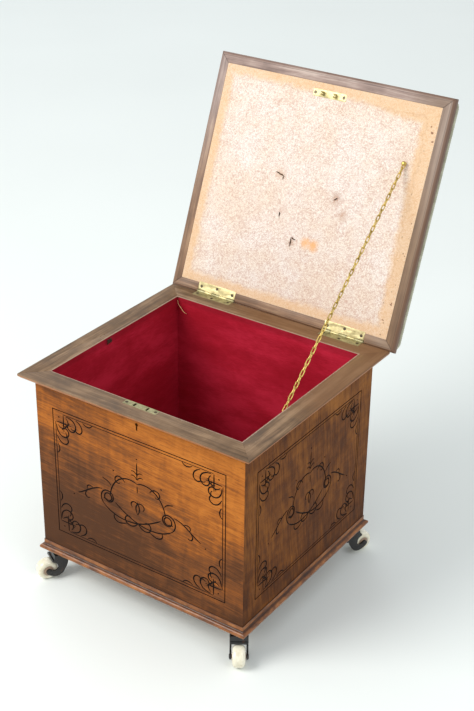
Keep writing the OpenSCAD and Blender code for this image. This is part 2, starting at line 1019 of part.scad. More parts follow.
// Points of a curve from a to c that heads for b on the way
function sweep(a, b, c, n = 8) =
    [for (i = [0:n]) let (t = i / n) (1 - t) * (1 - t) * a + 2 * t * (1 - t) * b + t * t * c];

// Horn-shaped fork: a hood that starts under the race and follows the wheel,
// with an arm at each side that hooks under the axle
module caster_fork(i) {
    arm = concat(
        [[-crown_back, crown_top]],
        sweep([-crown_back, crown_low], [heel[0] - 6, heel[1] + 6], heel),
        sweep(heel, [heel[0] + 3.5, belly[1] + 0.5], belly),
        sweep(belly, [belly[0] + 8, belly[1]], [trail + 2.5, wheel_r - 4.4], 5),
        arc(trail, wheel_r, boss_r, -60, 100),
        sweep([trail - 3, wheel_r + 4], [trail - 11, wheel_r - 4], hook),
        [[crown_front, crown_top]]);
    hood = concat(
        [[-crown_back, crown_top], [-crown_back, crown_low],
            [hood_x, crown_low], [hood_x + 0.5, wheel_r + 9.5]],
        arc(trail, wheel_r, wheel_r + hood_gap, 150, 108),
        arc(trail, wheel_r, wheel_r + hood_gap + hood_t, 108, 114, 2),
        [[crown_front, crown_top]]);
    crown_w = fork_gap + arm_t;
    color(iron)
        at_caster(i)
            difference() {
                union() {
                    for (s = [-1, 1])
                        translate([0, s * (fork_gap + arm_t / 2), 0])
                            rotate([90, 0, 0])
                                linear_extrude(arm_t, center = true)
                                    polygon(arm);
                    rotate([90, 0, 0])
                        linear_extrude(2 * crown_w - 1, center = true)
                            polygon(hood);
                }
                translate([0, 0, crown_low - cut])
                    cylinder(r = stem_r + turn_gap, h = crown_t + 2 * cut);
                translate([trail, -crown_w - cut, wheel_r])
                    rotate([-90, 0, 0])
                        cylinder(r = axle_r + screw_gap, h = 2 * crown_w + 2 * cut);
            }
}

module caster_axle(i) {
    end = fork_gap + arm_t;
    color(iron)
        at_caster(i)
            translate([trail, 0, wheel_r])
                rotate([90, 0, 0])
                    rotate_extrude()
                        polygon([[0, -end - axle_head_t], [axle_head_r - 1, -end - axle_head_t],
                            [axle_head_r, -end], [axle_r, -end], [axle_r, end],
                            [axle_head_r, end], [axle_head_r - 1, end + axle_head_t],
                            [0, end + axle_head_t]]);
}

// Glazed wheel with a full rounded tread and a small raised hub on each face
module caster_wheel(i) {
    half = wheel_w / 2;
    bore = axle_r + turn_gap;
    color(cream)
        at_caster(i)
            translate([trail, 0, wheel_r])
                rotate([90, 0, 0])
                    rotate_extrude()
                        polygon(concat(
                            [[bore, -half], [hub_r, -half], [hub_r + hub_step, hub_step - half]],
                            arc(wheel_r - tread_r, tread_r + hub_step - half, tread_r, -90, 0, 6),
                            arc(wheel_r - tread_r, half - tread_r - hub_step, tread_r, 0, 90, 6),
                            [[hub_r + hub_step, half - hub_step], [hub_r, half], [bore, half]]));
}

module caster_fork_front_right() { caster_fork(0); }
module caster_fork_back_right() { caster_fork(1); }
module caster_fork_back_left() { caster_fork(2); }
module caster_fork_front_left() { caster_fork(3); }
module caster_axle_front_right() { caster_axle(0); }
module caster_axle_back_right() { caster_axle(1); }
module caster_axle_back_left() { caster_axle(2); }
module caster_axle_front_left() { caster_axle(3); }
module caster_wheel_front_right() { caster_wheel(0); }
module caster_wheel_back_right() { caster_wheel(1); }
module caster_wheel_back_left() { caster_wheel(2); }
module caster_wheel_front_left() { caster_wheel(3); }

front_panel();
back_panel();
left_panel();
right_panel();
bottom_board();
corner_blocks();
rim_front();
rim_back();
rim_left();
rim_right();
base_moulding_front();
base_moulding_back();
base_moulding_left();
base_moulding_right();
lining_front();
lining_back();
lining_left();
lining_right();
lining_floor();
lock_case();
lock_selvedge();
lock_bolt();
hinge_box_leaf_left();
hinge_box_leaf_right();
hinge_pins();
box_screws();
hinge_lid_leaf_left();
hinge_lid_leaf_right();
lid_screws();
lid_rail_front();
lid_rail_back();
lid_rail_left();
lid_rail_right();
lid_board();
lid_cloth();
lid_pad();
lid_braid();
lock_link_plate();
chain_lid_screw();
chain_wall_eye();
stay_chain();
caster_plates();
caster_screws();
caster_fork_front_right();
caster_fork_back_right();
caster_fork_back_left();
caster_fork_front_left();
caster_axle_front_right();
caster_axle_back_right();
caster_axle_back_left();
caster_axle_front_left();
caster_wheel_front_right();
caster_wheel_back_right();
caster_wheel_back_left();
caster_wheel_front_left();
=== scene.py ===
"""A box ottoman: a square walnut box on four casters, its padded lid open on a chain."""

import json
import math

import bmesh
import bpy
from mathutils import Matrix, Vector, noise


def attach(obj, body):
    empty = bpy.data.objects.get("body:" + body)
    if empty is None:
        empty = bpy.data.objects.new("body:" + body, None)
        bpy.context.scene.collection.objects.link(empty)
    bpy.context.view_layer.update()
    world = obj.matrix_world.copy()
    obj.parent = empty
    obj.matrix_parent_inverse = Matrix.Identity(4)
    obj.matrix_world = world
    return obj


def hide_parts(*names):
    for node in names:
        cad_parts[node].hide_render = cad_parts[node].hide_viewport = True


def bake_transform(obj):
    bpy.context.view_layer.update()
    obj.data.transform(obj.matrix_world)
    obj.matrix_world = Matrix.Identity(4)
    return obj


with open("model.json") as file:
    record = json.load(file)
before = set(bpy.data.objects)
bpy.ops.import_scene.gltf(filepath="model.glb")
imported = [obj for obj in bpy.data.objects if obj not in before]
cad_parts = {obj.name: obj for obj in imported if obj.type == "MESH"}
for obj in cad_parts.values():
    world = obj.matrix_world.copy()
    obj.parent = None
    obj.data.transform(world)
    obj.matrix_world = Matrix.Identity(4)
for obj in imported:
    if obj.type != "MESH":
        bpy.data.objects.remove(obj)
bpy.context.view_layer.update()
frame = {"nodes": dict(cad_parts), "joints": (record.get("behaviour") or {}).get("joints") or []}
nodes = frame["nodes"]


# ---- Camera ----
# A short telephoto lens looks down over the front right corner, turned a
# little about its own line of sight.

camera_place = (1.13, -1.5756, 1.4382)
camera_lens = 71.26
camera_turn = math.radians(34.249)
camera_tilt = math.radians(61.776)
camera_roll = math.radians(0.746)

bpy.ops.object.select_all(action="DESELECT")
bpy.ops.object.camera_add()
camera = bpy.context.object
camera.name = "camera"
camera.data.lens = camera_lens
camera.matrix_world = (
    Matrix.Translation(camera_place)
    @ Matrix.Rotation(camera_turn, 4, "Z")
    @ Matrix.Rotation(camera_tilt, 4, "X")
    @ Matrix.Rotation(camera_roll, 4, "Z")
)
bpy.context.scene.camera = camera


# ---- Studio ----
# One large soft light to the left of the camera, a weak one to the right, one
# far behind that lights the floor there, and a pale sky for the rest.

bpy.context.scene.view_settings.view_transform = "Standard"


def soft_light(name, place, aim, size, power, colour):
    bpy.ops.object.light_add(type="AREA", location=place)
    light = bpy.context.object
    light.name = name
    light.data.shape = "DISK"
    light.data.size = size
    light.data.energy = power
    light.data.color = colour
    light.rotation_euler = (Vector(aim) - Vector(place)).to_track_quat("-Z", "Y").to_euler()


soft_light("key_light", (-1.5, -2.3, 2.5), (0.0, 0.0, 0.25), 2.2, 98, (1.0, 0.99, 0.955))
soft_light("back_light", (-3.2, 3.0, 3.0), (-1.2, 2.2, 0.0), 2.4, 17, (0.92, 0.97, 1.0))
soft_light("fill_light", (2.6, -0.6, 1.9), (0.1, 0.0, 0.3), 1.6, 16, (0.95, 0.98, 1.0))

sky = bpy.data.worlds.new("sky")
sky.use_nodes = True
background = sky.node_tree.nodes["Background"]
background.inputs["Color"].default_value = (0.945, 0.98, 1.0, 1)
background.inputs["Strength"].default_value = 0.81
bpy.context.scene.world = sky


# ---- Studio floor ----
# A pale matt floor that runs far back. Every finish is worked out from the
# place on its piece: a Field is a node's socket, which adds and multiplies as
# a number does, and a Finish is a material that adds the nodes.


class Field:
    def __init__(self, finish, socket):
        self.finish, self.socket = finish, socket

    def maths(self, operation, *terms):
        return self.finish.node("ShaderNodeMath", {"operation": operation}, *terms)

    def __add__(self, other):
        return self.maths("ADD", self, other)

    def __radd__(self, other):
        return self.maths("ADD", other, self)

    def __sub__(self, other):
        return self.maths("SUBTRACT", self, other)

    def __rsub__(self, other):
        return self.maths("SUBTRACT", other, self)

    def __mul__(self, other):
        return self.maths("MULTIPLY", self, other)

    def __rmul__(self, other):
        return self.maths("MULTIPLY", other, self)

    def __lt__(self, other):
        return self.maths("LESS_THAN", self, other)

    def __abs__(self):
        return self.maths("ABSOLUTE", self)

    def sine(self):
        return self.maths("SINE", self)

    def cosine(self):
        return self.maths("COSINE", self)

    def ripple(self, length):
        """A sine wave with that length along the field."""
        return (self * (math.tau / length)).sine()


class Finish:
    def __init__(self, name, **constants):
        self.material = bpy.data.materials.new(name)
        self.material.use_nodes = True
        self.tree = self.material.node_tree
        self.shader = self.tree.nodes["Principled BSDF"]
        for socket, value in constants.items():
            self.shader.inputs[socket.replace("_", " ")].default_value = value

    def node(self, kind, settings, *values, out=0, more=(), **named):
        """Adds a node: its settings first, then its sockets by place or name."""
        node = self.tree.nodes.new(kind)
        for key, setting in settings.items():
            if key == "stops":
                stops = node.color_ramp.elements
                stops[0].position, stops[-1].position = setting[0][0], setting[-1][0]
                for place, _ in setting[1:-1]:
                    stops.new(place)
                for stop, (_, shade) in zip(stops, setting):
                    stop.color = (*shade, 1)
            else:
                setattr(node, key, setting)
        for place, value in [*enumerate(values), *more, *named.items()]:
            socket = node.inputs[place]
            if isinstance(value, Field):
                self.tree.links.new(value.socket, socket)
            else:
                socket.default_value = value
        return Field(self, node.outputs[out])

    def give(self, **fields):
        """Links fields to the shader's sockets."""
        for socket, field in fields.items():
            self.tree.links.new(field.socket, self.shader.inputs[socket.replace("_", " ")])

    def mapped(self, where, move=(0, 0, 0), turn=(0, 0, 0), stretch=(1, 1, 1)):
        return self.node("ShaderNodeMapping", {}, where, move, turn, stretch)

    def place(self, **mapping):
        """Where a point lies on the piece, moved, turned and stretched."""
        return self.mapped(self.node("ShaderNodeTexCoord", {}, out="Object"), **mapping)

    def axes(self, where):
        split = self.node("ShaderNodeSeparateXYZ", {}, where).socket.node
        return [Field(self, socket) for socket in split.outputs]

    def cloud(self, where, size, detail=2.0, rough=0.5, twist=0.0, stretch=None):
        """Soft noise with lumps of that size, from 0 to 1."""
        if stretch:
            where = self.mapped(where, stretch=stretch)
        return self.node(
            "ShaderNodeTexNoise", {}, Vector=where, Scale=1 / size,
            Detail=detail, Roughness=rough, Distortion=twist,
        )

    def fade(self, value, low, high, start=0.0, end=1.0):
        """A smooth step from start at low to end at high."""
        return self.node(
            "ShaderNodeMapRange", {"interpolation_type": "SMOOTHSTEP"},
            value, low, high, start, end,
        )

    def shades(self, value, *stops):
        return self.node("ShaderNodeValToRGB", {"stops": stops}, value)

    def tint(self, value, low, high, *colours):
        """The colours in even steps, as the value goes from low to high."""
        last = len(colours) - 1
        stops = [(step / last, colour) for step, colour in enumerate(colours)]
        return self.shades(self.fade(value, low, high), *stops)

    def mix(self, share, first, second):
        """A mix of two colours, from the first at 0 to the second at 1."""
        both = [c if isinstance(c, Field) else (*c, 1) for c in (first, second)]
        return self.node("ShaderNodeMix", {"data_type": "RGBA"}, share, out=2,
                         more=zip((6, 7), both))

    def relief(self, height, depth, strength=1.0):
        """The normal of a surface with that height, where 1 is depth metres."""
        self.give(Normal=self.node(
            "ShaderNodeBump", {}, Strength=strength, Distance=depth, Height=height,
        ))


floor_colour = (0.8, 0.83, 0.81)
bpy.ops.mesh.primitive_plane_add(size=24, location=(0, 6, 0))
floor = bpy.context.object
floor.name = "floor"
studio_floor = Finish("studio_floor", Roughness=0.75, Specular_IOR_Level=0.3)
dust = studio_floor.cloud(studio_floor.place(), 0.6, 2)
studio_floor.give(Base_Color=studio_floor.shades(
    dust, (0.2, floor_colour), (0.8, tuple(c * 1.03 for c in floor_colour))))
floor.data.materials.append(studio_floor.material)


# ---- Carcase panels ----
# Four mitred panels faced with figured walnut veneer and varnished. Into each
# is cut a double border with scrolled corners and an arabesque, and shade is
# painted near black into the cuts.

out_x, out_y = 0.197, 0.181
veneer_foot = 0.0535
cut_r, dot_r = 0.00125, 0.001875
# Where the painted groove shade shows, by depth under the veneer's face, down to the mitre
groove_shade_from, groove_shade_full, groove_shade_to = 0.00003, 0.00025, 0.0019
groove_shade = (0.01, 0.006, 0.005)

# Right hand, up and outwards, as seen from outside each side of the box
FACING = {
    "front": Matrix(((1, 0, 0), (0, 0, 1), (0, -1, 0))),
    "right": Matrix(((0, 1, 0), (0, 0, 1), (1, 0, 0))),
    "back": Matrix(((-1, 0, 0), (0, 0, 1), (0, 1, 0))),
    "left": Matrix(((0, -1, 0), (0, 0, 1), (-1, 0, 0))),
}
HALF = {"front": out_y, "right": out_x, "back": out_y, "left": out_x}

# Arabesque: start, heading in degrees, length, and bend in degrees per mm at
# the start and at the end of each line; the left half mirrors the right
ARABESQUE = [
    (0, 36, 28, 80, -2.0, -0.8),
    (-44, -14, -36, 118, 0.25, 1.0),
    (65.1, -25.9, 38, 120, 2.6, 9.5),
    (24, 30, 62, 40, -2.5, -12.0),
    (70, 2, -6, 56, -1.6, 0.9),
    (100, -13, -40, 22, -2.0, -16.0),
    (52, 14, 84, 20, -9.0, 3.0),
    (88, -4, 40, 20, -3.0, -15.0),
    (0, -36, -58, 52, 1.5, 10.0),
    (22, -44, -20, 36, -1.5, 10.0),
    (0, -20, 60, 44, 1.0, 11.0),
    (1, 44, 80, 14, -6.0, -10.0),
    (1, 53, 70, 12, -6.0, -10.0),
]
STEM = [(0, 44, 90, 30, 0, 0), (0, 32, -90, 12, 0, 0)]
DOTS = [(0, 2), (0, 81), (66, -14), (-66, -14), (128, -30), (-128, -30), (46, 44), (-46, 44)]
# Corner scrolls, from the corner inwards; each is also laid across its diagonal
SCROLLS = [
    (21, -6, -90, 30, 0, 0),
    (26, -7, 4, 62, -1.6, -9.5),
    (46, -7, -20, 44, -1.2, -11.0),
    (60, -7, -36, 22, 1.5, 8.0),
    (10, -26, -60, 26, 5.0, 9.0),
    (24, -36, -30, 18, -8.0, -14.0),
]
scroll_dot, dot_half = 12, 1.3
line_step, line_taper = 1.5, 0.55
inner_line, corner_gap = 5, 22


def bent_line(x, y, heading, length, bend_start, bend_end):
    steps = max(6, round(length / line_step))
    step, way = length / steps, math.radians(heading)
    points = [(x, y)]
    for i in range(steps):
        share = (i + 0.5) / steps
        way += math.radians(bend_start + (bend_end - bend_start) * share) * step
        x, y = x + step * math.cos(way), y + step * math.sin(way)
        points.append((x, y))
    return points


def select_only(*pieces):
    bpy.ops.object.select_all(action="DESELECT")
    for piece in pieces:
        piece.select_set(True)
    bpy.context.view_layer.objects.active = pieces[0]


def smoothed(piece, sharpest):
    """Shades a piece smooth, except at edges sharper than that many degrees."""
    select_only(piece)
    bpy.ops.object.shade_smooth_by_angle(angle=math.radians(sharpest))


def finished_with(piece, kind, **settings):
    """Adds a modifier and applies it."""
    select_only(piece)
    modifier = piece.modifiers.new(kind.lower(), kind)
    for key, setting in settings.items():
        setattr(modifier, key, setting)
    bpy.ops.object.modifier_apply(modifier=modifier.name)
    return piece


def placed(name, data):
    piece = bpy.data.objects.new(name, data)
    bpy.context.collection.objects.link(piece)
    select_only(piece)
    return piece


def tube(name, paths, radius, closed=False, sides=1, thin_ends=1.0):
    """Round rods along paths of points, as one mesh; sides is a quarter's steps."""
    curve = bpy.data.curves.new(name, "CURVE")
    curve.dimensions = "3D"
    curve.bevel_depth, curve.bevel_resolution = radius, sides
    curve.use_fill_caps = not closed
    for path in paths:
        spline = curve.splines.new("POLY")
        spline.points.add(len(path) - 1)
        for i, (point, spot) in enumerate(zip(spline.points, path)):
            point.co = (*spot, 1)
            end = min(i, len(path) - 1 - i)
            point.radius = 1 if closed else min(1, thin_ends + (1 - thin_ends) * end / 6)
        spline.use_cyclic_u = closed
    placed(name, curve)
    bpy.ops.object.convert(target="MESH")
    piece = bpy.context.object
    bpy.ops.object.mode_set(mode="EDIT")
    bpy.ops.mesh.select_all(action="SELECT")
    bpy.ops.mesh.remove_doubles(threshold=1e-6)
    bpy.ops.mesh.normals_make_consistent(inside=False)
    bpy.ops.object.mode_set(mode="OBJECT")
    return piece


def cut_from(piece, cutter):
    finished_with(piece, "BOOLEAN", operation="DIFFERENCE", object=cutter, solver="MANIFOLD")
    bpy.data.objects.remove(cutter)


def own_copy(node, name):
    """A piece of its own with a CAD node's shape, its loose triangles joined."""
    piece = placed(name, nodes[node].data.copy())
    piece.data.materials.clear()
    bpy.ops.mesh.customdata_custom_splitnormals_clear()
    bpy.ops.object.mode_set(mode="EDIT")
    bpy.ops.mesh.select_all(action="SELECT")
    bpy.ops.mesh.remove_doubles(threshold=1e-6)
    bpy.ops.mesh.dissolve_limited(angle_limit=math.radians(0.3))
    bpy.ops.object.mode_set(mode="OBJECT")
    return piece


def settled(piece, finish, slot, body, *replaced):
    """Gives a piece its finish, its body and the CAD nodes it stands for."""
    piece.data.materials.clear()
    piece.data.materials.append(finish.material)
    if replaced:
        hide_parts(*replaced)
    if body:
        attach(piece, body)
    return piece


def panel_tools(side, border_w, border_h, mid_z, across):
    """The cutters for one panel's lines, one for each pass."""
    place = FACING[side].transposed().to_4x4() @ Matrix.Translation((0, mid_z, HALF[side]))
    half_w, half_h = border_w / 2, border_h / 2

    def tool(paths, closed=False, radius=cut_r):
        spots = [[(x / 1000, y / 1000, 0) for x, y in path] for path in paths]
        piece = tube("cutter", spots, radius, closed, thin_ends=line_taper)
        piece.data.transform(place)
        return piece

    inset_w, inset_h = half_w - inner_line, half_h - inner_line
    free_w, free_h = half_w - corner_gap, half_h - corner_gap
    yield tool([[(-half_w, -half_h), (half_w, -half_h), (half_w, half_h), (-half_w, half_h)]], True)
    yield tool(
        [[(-free_w, y), (0, y), (free_w, y)] for y in (-inset_h, inset_h)]
        + [[(x, -free_h), (x, 0), (x, free_h)] for x in (-inset_w, inset_w)]
    )
    signs = [(1, 1), (1, -1), (-1, 1), (-1, -1)]
    for scroll in SCROLLS:
        line = bent_line(*scroll)
        yield tool([[(sx * (x - half_w), sy * (y + half_h)) for x, y in line] for sx, sy in signs])
        yield tool([[(sx * (-y - half_w), sy * (half_h - x)) for x, y in line] for sx, sy in signs])
    spots = [(sx * (scroll_dot - half_w), sy * (half_h - scroll_dot)) for sx, sy in signs]
    spots += [(x * across, y) for x, y in DOTS]
    ends = (-dot_half, -dot_half / 3, dot_half / 3, dot_half)
    yield tool([[(x + end, y) for end in ends] for x, y in spots], radius=dot_r)
    for line in STEM:
        yield tool([bent_line(*line)])
    for scroll in ARABESQUE:
        for hand in (across, -across):
            yield tool([[(x * hand, y) for x, y in bent_line(*scroll)]])


def veneer(side, slope, stops, lift, seed):
    """Walnut veneer whose figure slopes by that angle, under a worn varnish, with painted light
    from lift.
    """
    wood = Finish(f"walnut_{side}", Roughness=0.4, Specular_IOR_Level=0.06)
    face = wood.place(turn=FACING[side].to_euler())
    right, up, outwards = wood.axes(face)
    grain = wood.mapped(face, move=(seed, 0.37 * seed, 0), turn=(0, 0, math.radians(slope)))
    broad = wood.cloud(grain, 0.06, 3, 0.5, 1.3, stretch=(0.3, 1, 1))
    bands = wood.cloud(grain, 0.0075, 5, 0.62, 0.7, stretch=(0.14, 1, 1))
    threads = wood.cloud(grain, 0.0022, 3, 0.6, stretch=(0.05, 1, 1))
    pores = wood.fade(wood.cloud(grain, 0.00075, 1, stretch=(0.07, 1, 1)), 0.6, 0.72)
    curl = wood.cloud(grain, 0.014, 2, 0.5, 0.6, stretch=(1, 0.22, 1))
    blotch = wood.cloud(face, 0.085, 4, 0.55, 0.8, stretch=(0.7, 1, 1))
    tone = broad * 0.24 + bands * 0.24 + threads * 0.22 + curl * 0.12 + blotch * 0.26
    # Painted light and shade: lift makes the tone lighter where the side is lit
    tone = tone + lift(wood, right, up)
    colour = wood.shades(wood.fade(tone, 0.38, 0.7), *stops)
    colour = wood.mix(pores * 0.5, colour, (0.055, 0.024, 0.014))
    depth = HALF[side] - outwards
    # Painted shade: the cut lines are coloured near black, as the grooves' shade
    cut = wood.fade(depth, groove_shade_from, groove_shade_full) * (depth < groove_shade_to)
    # Grime gathers along the foot
    foot = wood.fade(up, veneer_foot + 0.055, veneer_foot + 0.012)
    grime = foot * wood.fade(wood.cloud(face, 0.02, 4), 0.35, 0.65)
    colour = wood.mix(grime * 0.35, colour, (0.035, 0.018, 0.012))
    colour = wood.mix(cut, colour, groove_shade)
    scuffs = wood.cloud(face, 0.008, 5, 0.7, stretch=(0.2, 1, 1))
    wood.give(
        Base_Color=colour,
        Roughness=0.27 + scuffs * 0.26 + pores * 0.1 + cut * 0.15,
    )
    wood.relief(tone * 0.8 - pores, 0.00012, 0.6)
    return wood


# Painted light and shade: the front and the left, which face the key light, take the lighter honey
# colours, and the right and the back, turned from it, the darker umber ones
lit_side_honey = [
    (0.0, (0.075, 0.029, 0.012)), (0.25, (0.145, 0.05, 0.016)),
    (0.5, (0.225, 0.071, 0.016)), (0.75, (0.335, 0.102, 0.017)),
    (1.0, (0.45, 0.148, 0.024)),
]
shaded_side_umber = [
    (0.0, (0.055, 0.016, 0.004)), (0.35, (0.12, 0.036, 0.006)),
    (0.7, (0.205, 0.07, 0.011)), (1.0, (0.29, 0.108, 0.02)),
]
# Each lift paints light: every side is lighter towards its top, and the front is also lighter
# towards its right
VENEERS = {
    "front": veneer(
        "front", 4, lit_side_honey, lambda wood, right, up: wood.fade(up, 0.08, 0.34) * 0.16
        + wood.fade(right, -0.12, 0.12) * 0.1 - 0.17, 0.0),
    "right": veneer("right", 84, shaded_side_umber, lambda wood, right, up: up * 0.12 - 0.05, 3.1),
    "back": veneer("back", 88, shaded_side_umber, lambda wood, right, up: up * 0.1, 5.7),
    "left": veneer("left", 86, lit_side_honey, lambda wood, right, up: up * 0.2 - 0.1, 7.9),
}
BORDERS = {"front": (328, 229), "back": (328, 229), "right": (296, 228), "left": (296, 228)}
border_mid = 0.2175

for side, (border_w, border_h) in BORDERS.items():
    panel = own_copy(f"{side}_panel", f"veneered_panel_{side}")
    across = 1.0 if border_w > 300 else 0.9
    for cutter in panel_tools(side, border_w, border_h, border_mid, across):
        cut_from(panel, cutter)
    smoothed(panel, 35)
    settled(panel, VENEERS[side], "walnut_veneer", "box", f"{side}_panel")


# ---- Rim ----
# Four flat boards mitred round the mouth of the box, dull and worn on top from
# sitting. Their chamfered lower outer edge keeps its varnish, with a painted highlight.

rim_top = 0.385
mouth_x, mouth_y = 0.179, 0.163
nail_r, nail_deep = 0.0011, 0.006
NAIL_HOLES = [(-0.1895, -0.0205), (-0.1905, -0.029)]


def rim_wood(name, long_side):
    wood = Finish(name, Roughness=0.5, Coat_Weight=0.05, Coat_Roughness=0.35,
                  Specular_IOR_Level=0.35)
    spot = wood.place()
    grain = wood.mapped(spot, turn=(0, 0, 0 if long_side else math.pi / 2))
    x, y, z = wood.axes(spot)
    bands = wood.cloud(grain, 0.01, 5, 0.6, 0.4, stretch=(0.06, 1, 1))
    threads = wood.cloud(grain, 0.0016, 3, 0.6, stretch=(0.04, 1, 1))
    blotch = wood.cloud(spot, 0.05, 4, 0.6)
    colour = wood.tint(
        bands * 0.5 + threads * 0.22 + blotch * 0.35, 0.38, 0.7,
        (0.062, 0.034, 0.016), (0.148, 0.084, 0.041), (0.275, 0.172, 0.095))
    # Less faded along the back and the right
    warm = wood.fade(x * 0.8 + y + blotch * 0.05, 0.1, 0.2)
    colour = wood.mix(warm * 0.6, colour, (0.2, 0.085, 0.028))
    # Small pale nicks, mostly towards the mouth
    nicks = wood.fade(wood.cloud(spot, 0.0034, 2, 0.5, stretch=(0.6, 1, 1)), 0.7, 0.76)
    rubbed = wood.fade(wood.cloud(spot, 0.018, 3, 0.6), 0.52, 0.72)
    on_top = wood.fade(z, rim_top - 0.0005, rim_top - 0.0001)
    colour = wood.mix(nicks * rubbed * on_top * 0.75, colour, (0.42, 0.34, 0.25))
    # The torn edge of the lining paper leaves a frayed pale line at the mouth
    side_x, side_y = abs(x) - mouth_x, abs(y) - mouth_y
    inwards = side_x.maths("MAXIMUM", side_x, side_y)
    fray = wood.cloud(spot, 0.004, 4, 0.7)
    frayed = wood.fade(inwards - fray * 0.0045, 0.0002, -0.0012) * on_top
    colour = wood.mix(frayed * 0.8, colour, (0.4, 0.27, 0.2))
    # The chamfer and the outer edge keep their orange varnish, painted brighter as a highlight
    below = wood.fade(z, rim_top - 0.0016, rim_top - 0.0034)
    outside = wood.fade(inwards, 0.024, 0.028)
    varnish_and_highlight = below * outside * wood.fade(wood.cloud(spot, 0.012, 3), 0.25, 0.5, 0.6, 1.0)
    colour = wood.mix(varnish_and_highlight * 0.75, colour, (0.42, 0.15, 0.05))
    wood.give(Base_Color=colour, Roughness=0.42 + blotch * 0.28 - varnish_and_highlight * 0.15)
    wood.relief(bands * 0.5 + threads * 0.5 - nicks, 0.00015, 0.7)
    return wood


SIDES = {"front": "long", "back": "long", "left": "cross", "right": "cross"}
RIM = {"long": rim_wood("rim_walnut_long", True), "cross": rim_wood("rim_walnut_cross", False)}
for side, way in SIDES.items():
    board = own_copy(f"rim_{side}", f"rim_board_{side}")
    if side == "left":
        for spot in NAIL_HOLES:
            bpy.ops.mesh.primitive_cylinder_add(
                vertices=12, radius=nail_r, depth=2 * nail_deep, location=(*spot, rim_top))
            cut_from(board, bpy.context.object)
    finished_with(board, "BEVEL", width=0.0004, segments=2, limit_method="ANGLE",
                  angle_limit=math.radians(30))
    smoothed(board, 35)
    settled(board, RIM[way], "rim_walnut", "box", f"rim_{side}")


# ---- Base moulding ----
# A bead below a cove, mitred round the foot of the box, with a thick glossy
# varnish. Shade is painted into the cove and along the top ledge.

cove_z, ledge_z = 0.0638, 0.0712
base_wood = Finish("moulding_walnut", Roughness=0.3, Coat_Weight=0.22, Coat_Roughness=0.18,
                   Specular_IOR_Level=0.3)
spot = base_wood.place()
x, y, z = base_wood.axes(spot)
streak = base_wood.cloud(spot, 0.004, 5, 0.65, stretch=(0.25, 0.25, 1))
mottle = base_wood.cloud(spot, 0.03, 3)
colour = base_wood.tint(
    streak * 0.55 + mottle * 0.45, 0.34, 0.66,
    (0.09, 0.03, 0.01), (0.22, 0.072, 0.017), (0.36, 0.135, 0.034))
# Painted shade: the cove and the top ledge against the panel are coloured dark
cove_shade = base_wood.fade(abs(z - cove_z), 0.0022, 0.0008)
ledge_shade = base_wood.fade(z, ledge_z, ledge_z + 0.001)
colour = base_wood.mix((cove_shade + ledge_shade) * 0.8, colour, (0.03, 0.012, 0.008))
chips = base_wood.fade(base_wood.cloud(spot, 0.005, 3, 0.6), 0.68, 0.74)
colour = base_wood.mix(chips * 0.6, colour, (0.33, 0.21, 0.12))
base_wood.give(Base_Color=colour, Roughness=0.24 + mottle * 0.2 + chips * 0.3)
base_wood.relief(streak - chips, 0.0001, 0.5)

for side in SIDES:
    strip = own_copy(f"base_moulding_{side}", f"base_bead_{side}")
    smoothed(strip, 30)
    settled(strip, base_wood, "moulding_walnut", "box", f"base_moulding_{side}")


# ---- Bottom board and corner blocks ----
# Plain sawn pine, dark with age and dust. The board closes the foot of the
# box, and the blocks glued into its corners carry the casters. Both keep the
# CAD's own shapes.

pine = Finish("old_pine", Roughness=0.8, Specular_IOR_Level=0.25)
grain = pine.place(stretch=(0.07, 1, 1))
rings = pine.cloud(grain, 0.012, 4, 0.55, 0.8)
threads = pine.cloud(grain, 0.0015, 3, 0.6)
age = pine.cloud(pine.place(), 0.08, 4, 0.6)
colour = pine.tint(
    rings * 0.6 + threads * 0.2 + age * 0.2, 0.36, 0.64,
    (0.17, 0.095, 0.045), (0.33, 0.205, 0.105), (0.47, 0.32, 0.18))
pine.give(Base_Color=pine.mix(pine.fade(age, 0.45, 0.75) * 0.5, colour, (0.08, 0.055, 0.04)))
pine.relief(rings * 0.6 + threads * 0.4, 0.0002)


def coated(node, finish):
    """Gives a CAD node that keeps its own shape a finish."""
    nodes[node].data.materials.clear()
    nodes[node].data.materials.append(finish.material)


coated("bottom_board", pine)
coated("corner_blocks", pine)


# ---- Lining ----
# Crimson cloth stretched over card on the four walls and the floor. It has
# slackened into soft level wrinkles and is brown along its top and foot.

floor_z, lining_top = 0.0895, 0.3845
lining_gap, lining_lap = 0.0006, 0.004
# Size of the mesh's cells, and how far in from its edges the cloth is slack
cloth_cell, slack_from = 0.004, 0.02

crimson = Finish("crimson_cloth", Roughness=0.9, Specular_IOR_Level=0.06)
spot = crimson.place()
x, y, z = crimson.axes(spot)
weave = (x + y).ripple(0.0011) * z.ripple(0.0009)
worn = crimson.cloud(spot, 0.05, 4, 0.6, stretch=(0.4, 0.4, 1))
fine = crimson.cloud(spot, 0.0016, 3, stretch=(0.15, 0.15, 1))
colour = crimson.tint(
    worn * 0.75 + fine * 0.25, 0.34, 0.68,
    (0.33, 0.008, 0.02), (0.415, 0.013, 0.032), (0.52, 0.021, 0.05))
# A brown tide mark along the top and the foot
top_mark = crimson.fade(z + worn * 0.01, 0.376, 0.383)
foot_mark = crimson.fade(z, 0.108, 0.091)
colour = crimson.mix(top_mark * 0.3, colour, (0.12, 0.008, 0.012))
colour = crimson.mix(foot_mark * 0.4, colour, (0.09, 0.004, 0.014))
crimson.give(Base_Color=colour)
crimson.relief(weave * 0.25 + fine * 0.5 + worn * 0.25, 0.0005, 0.6)


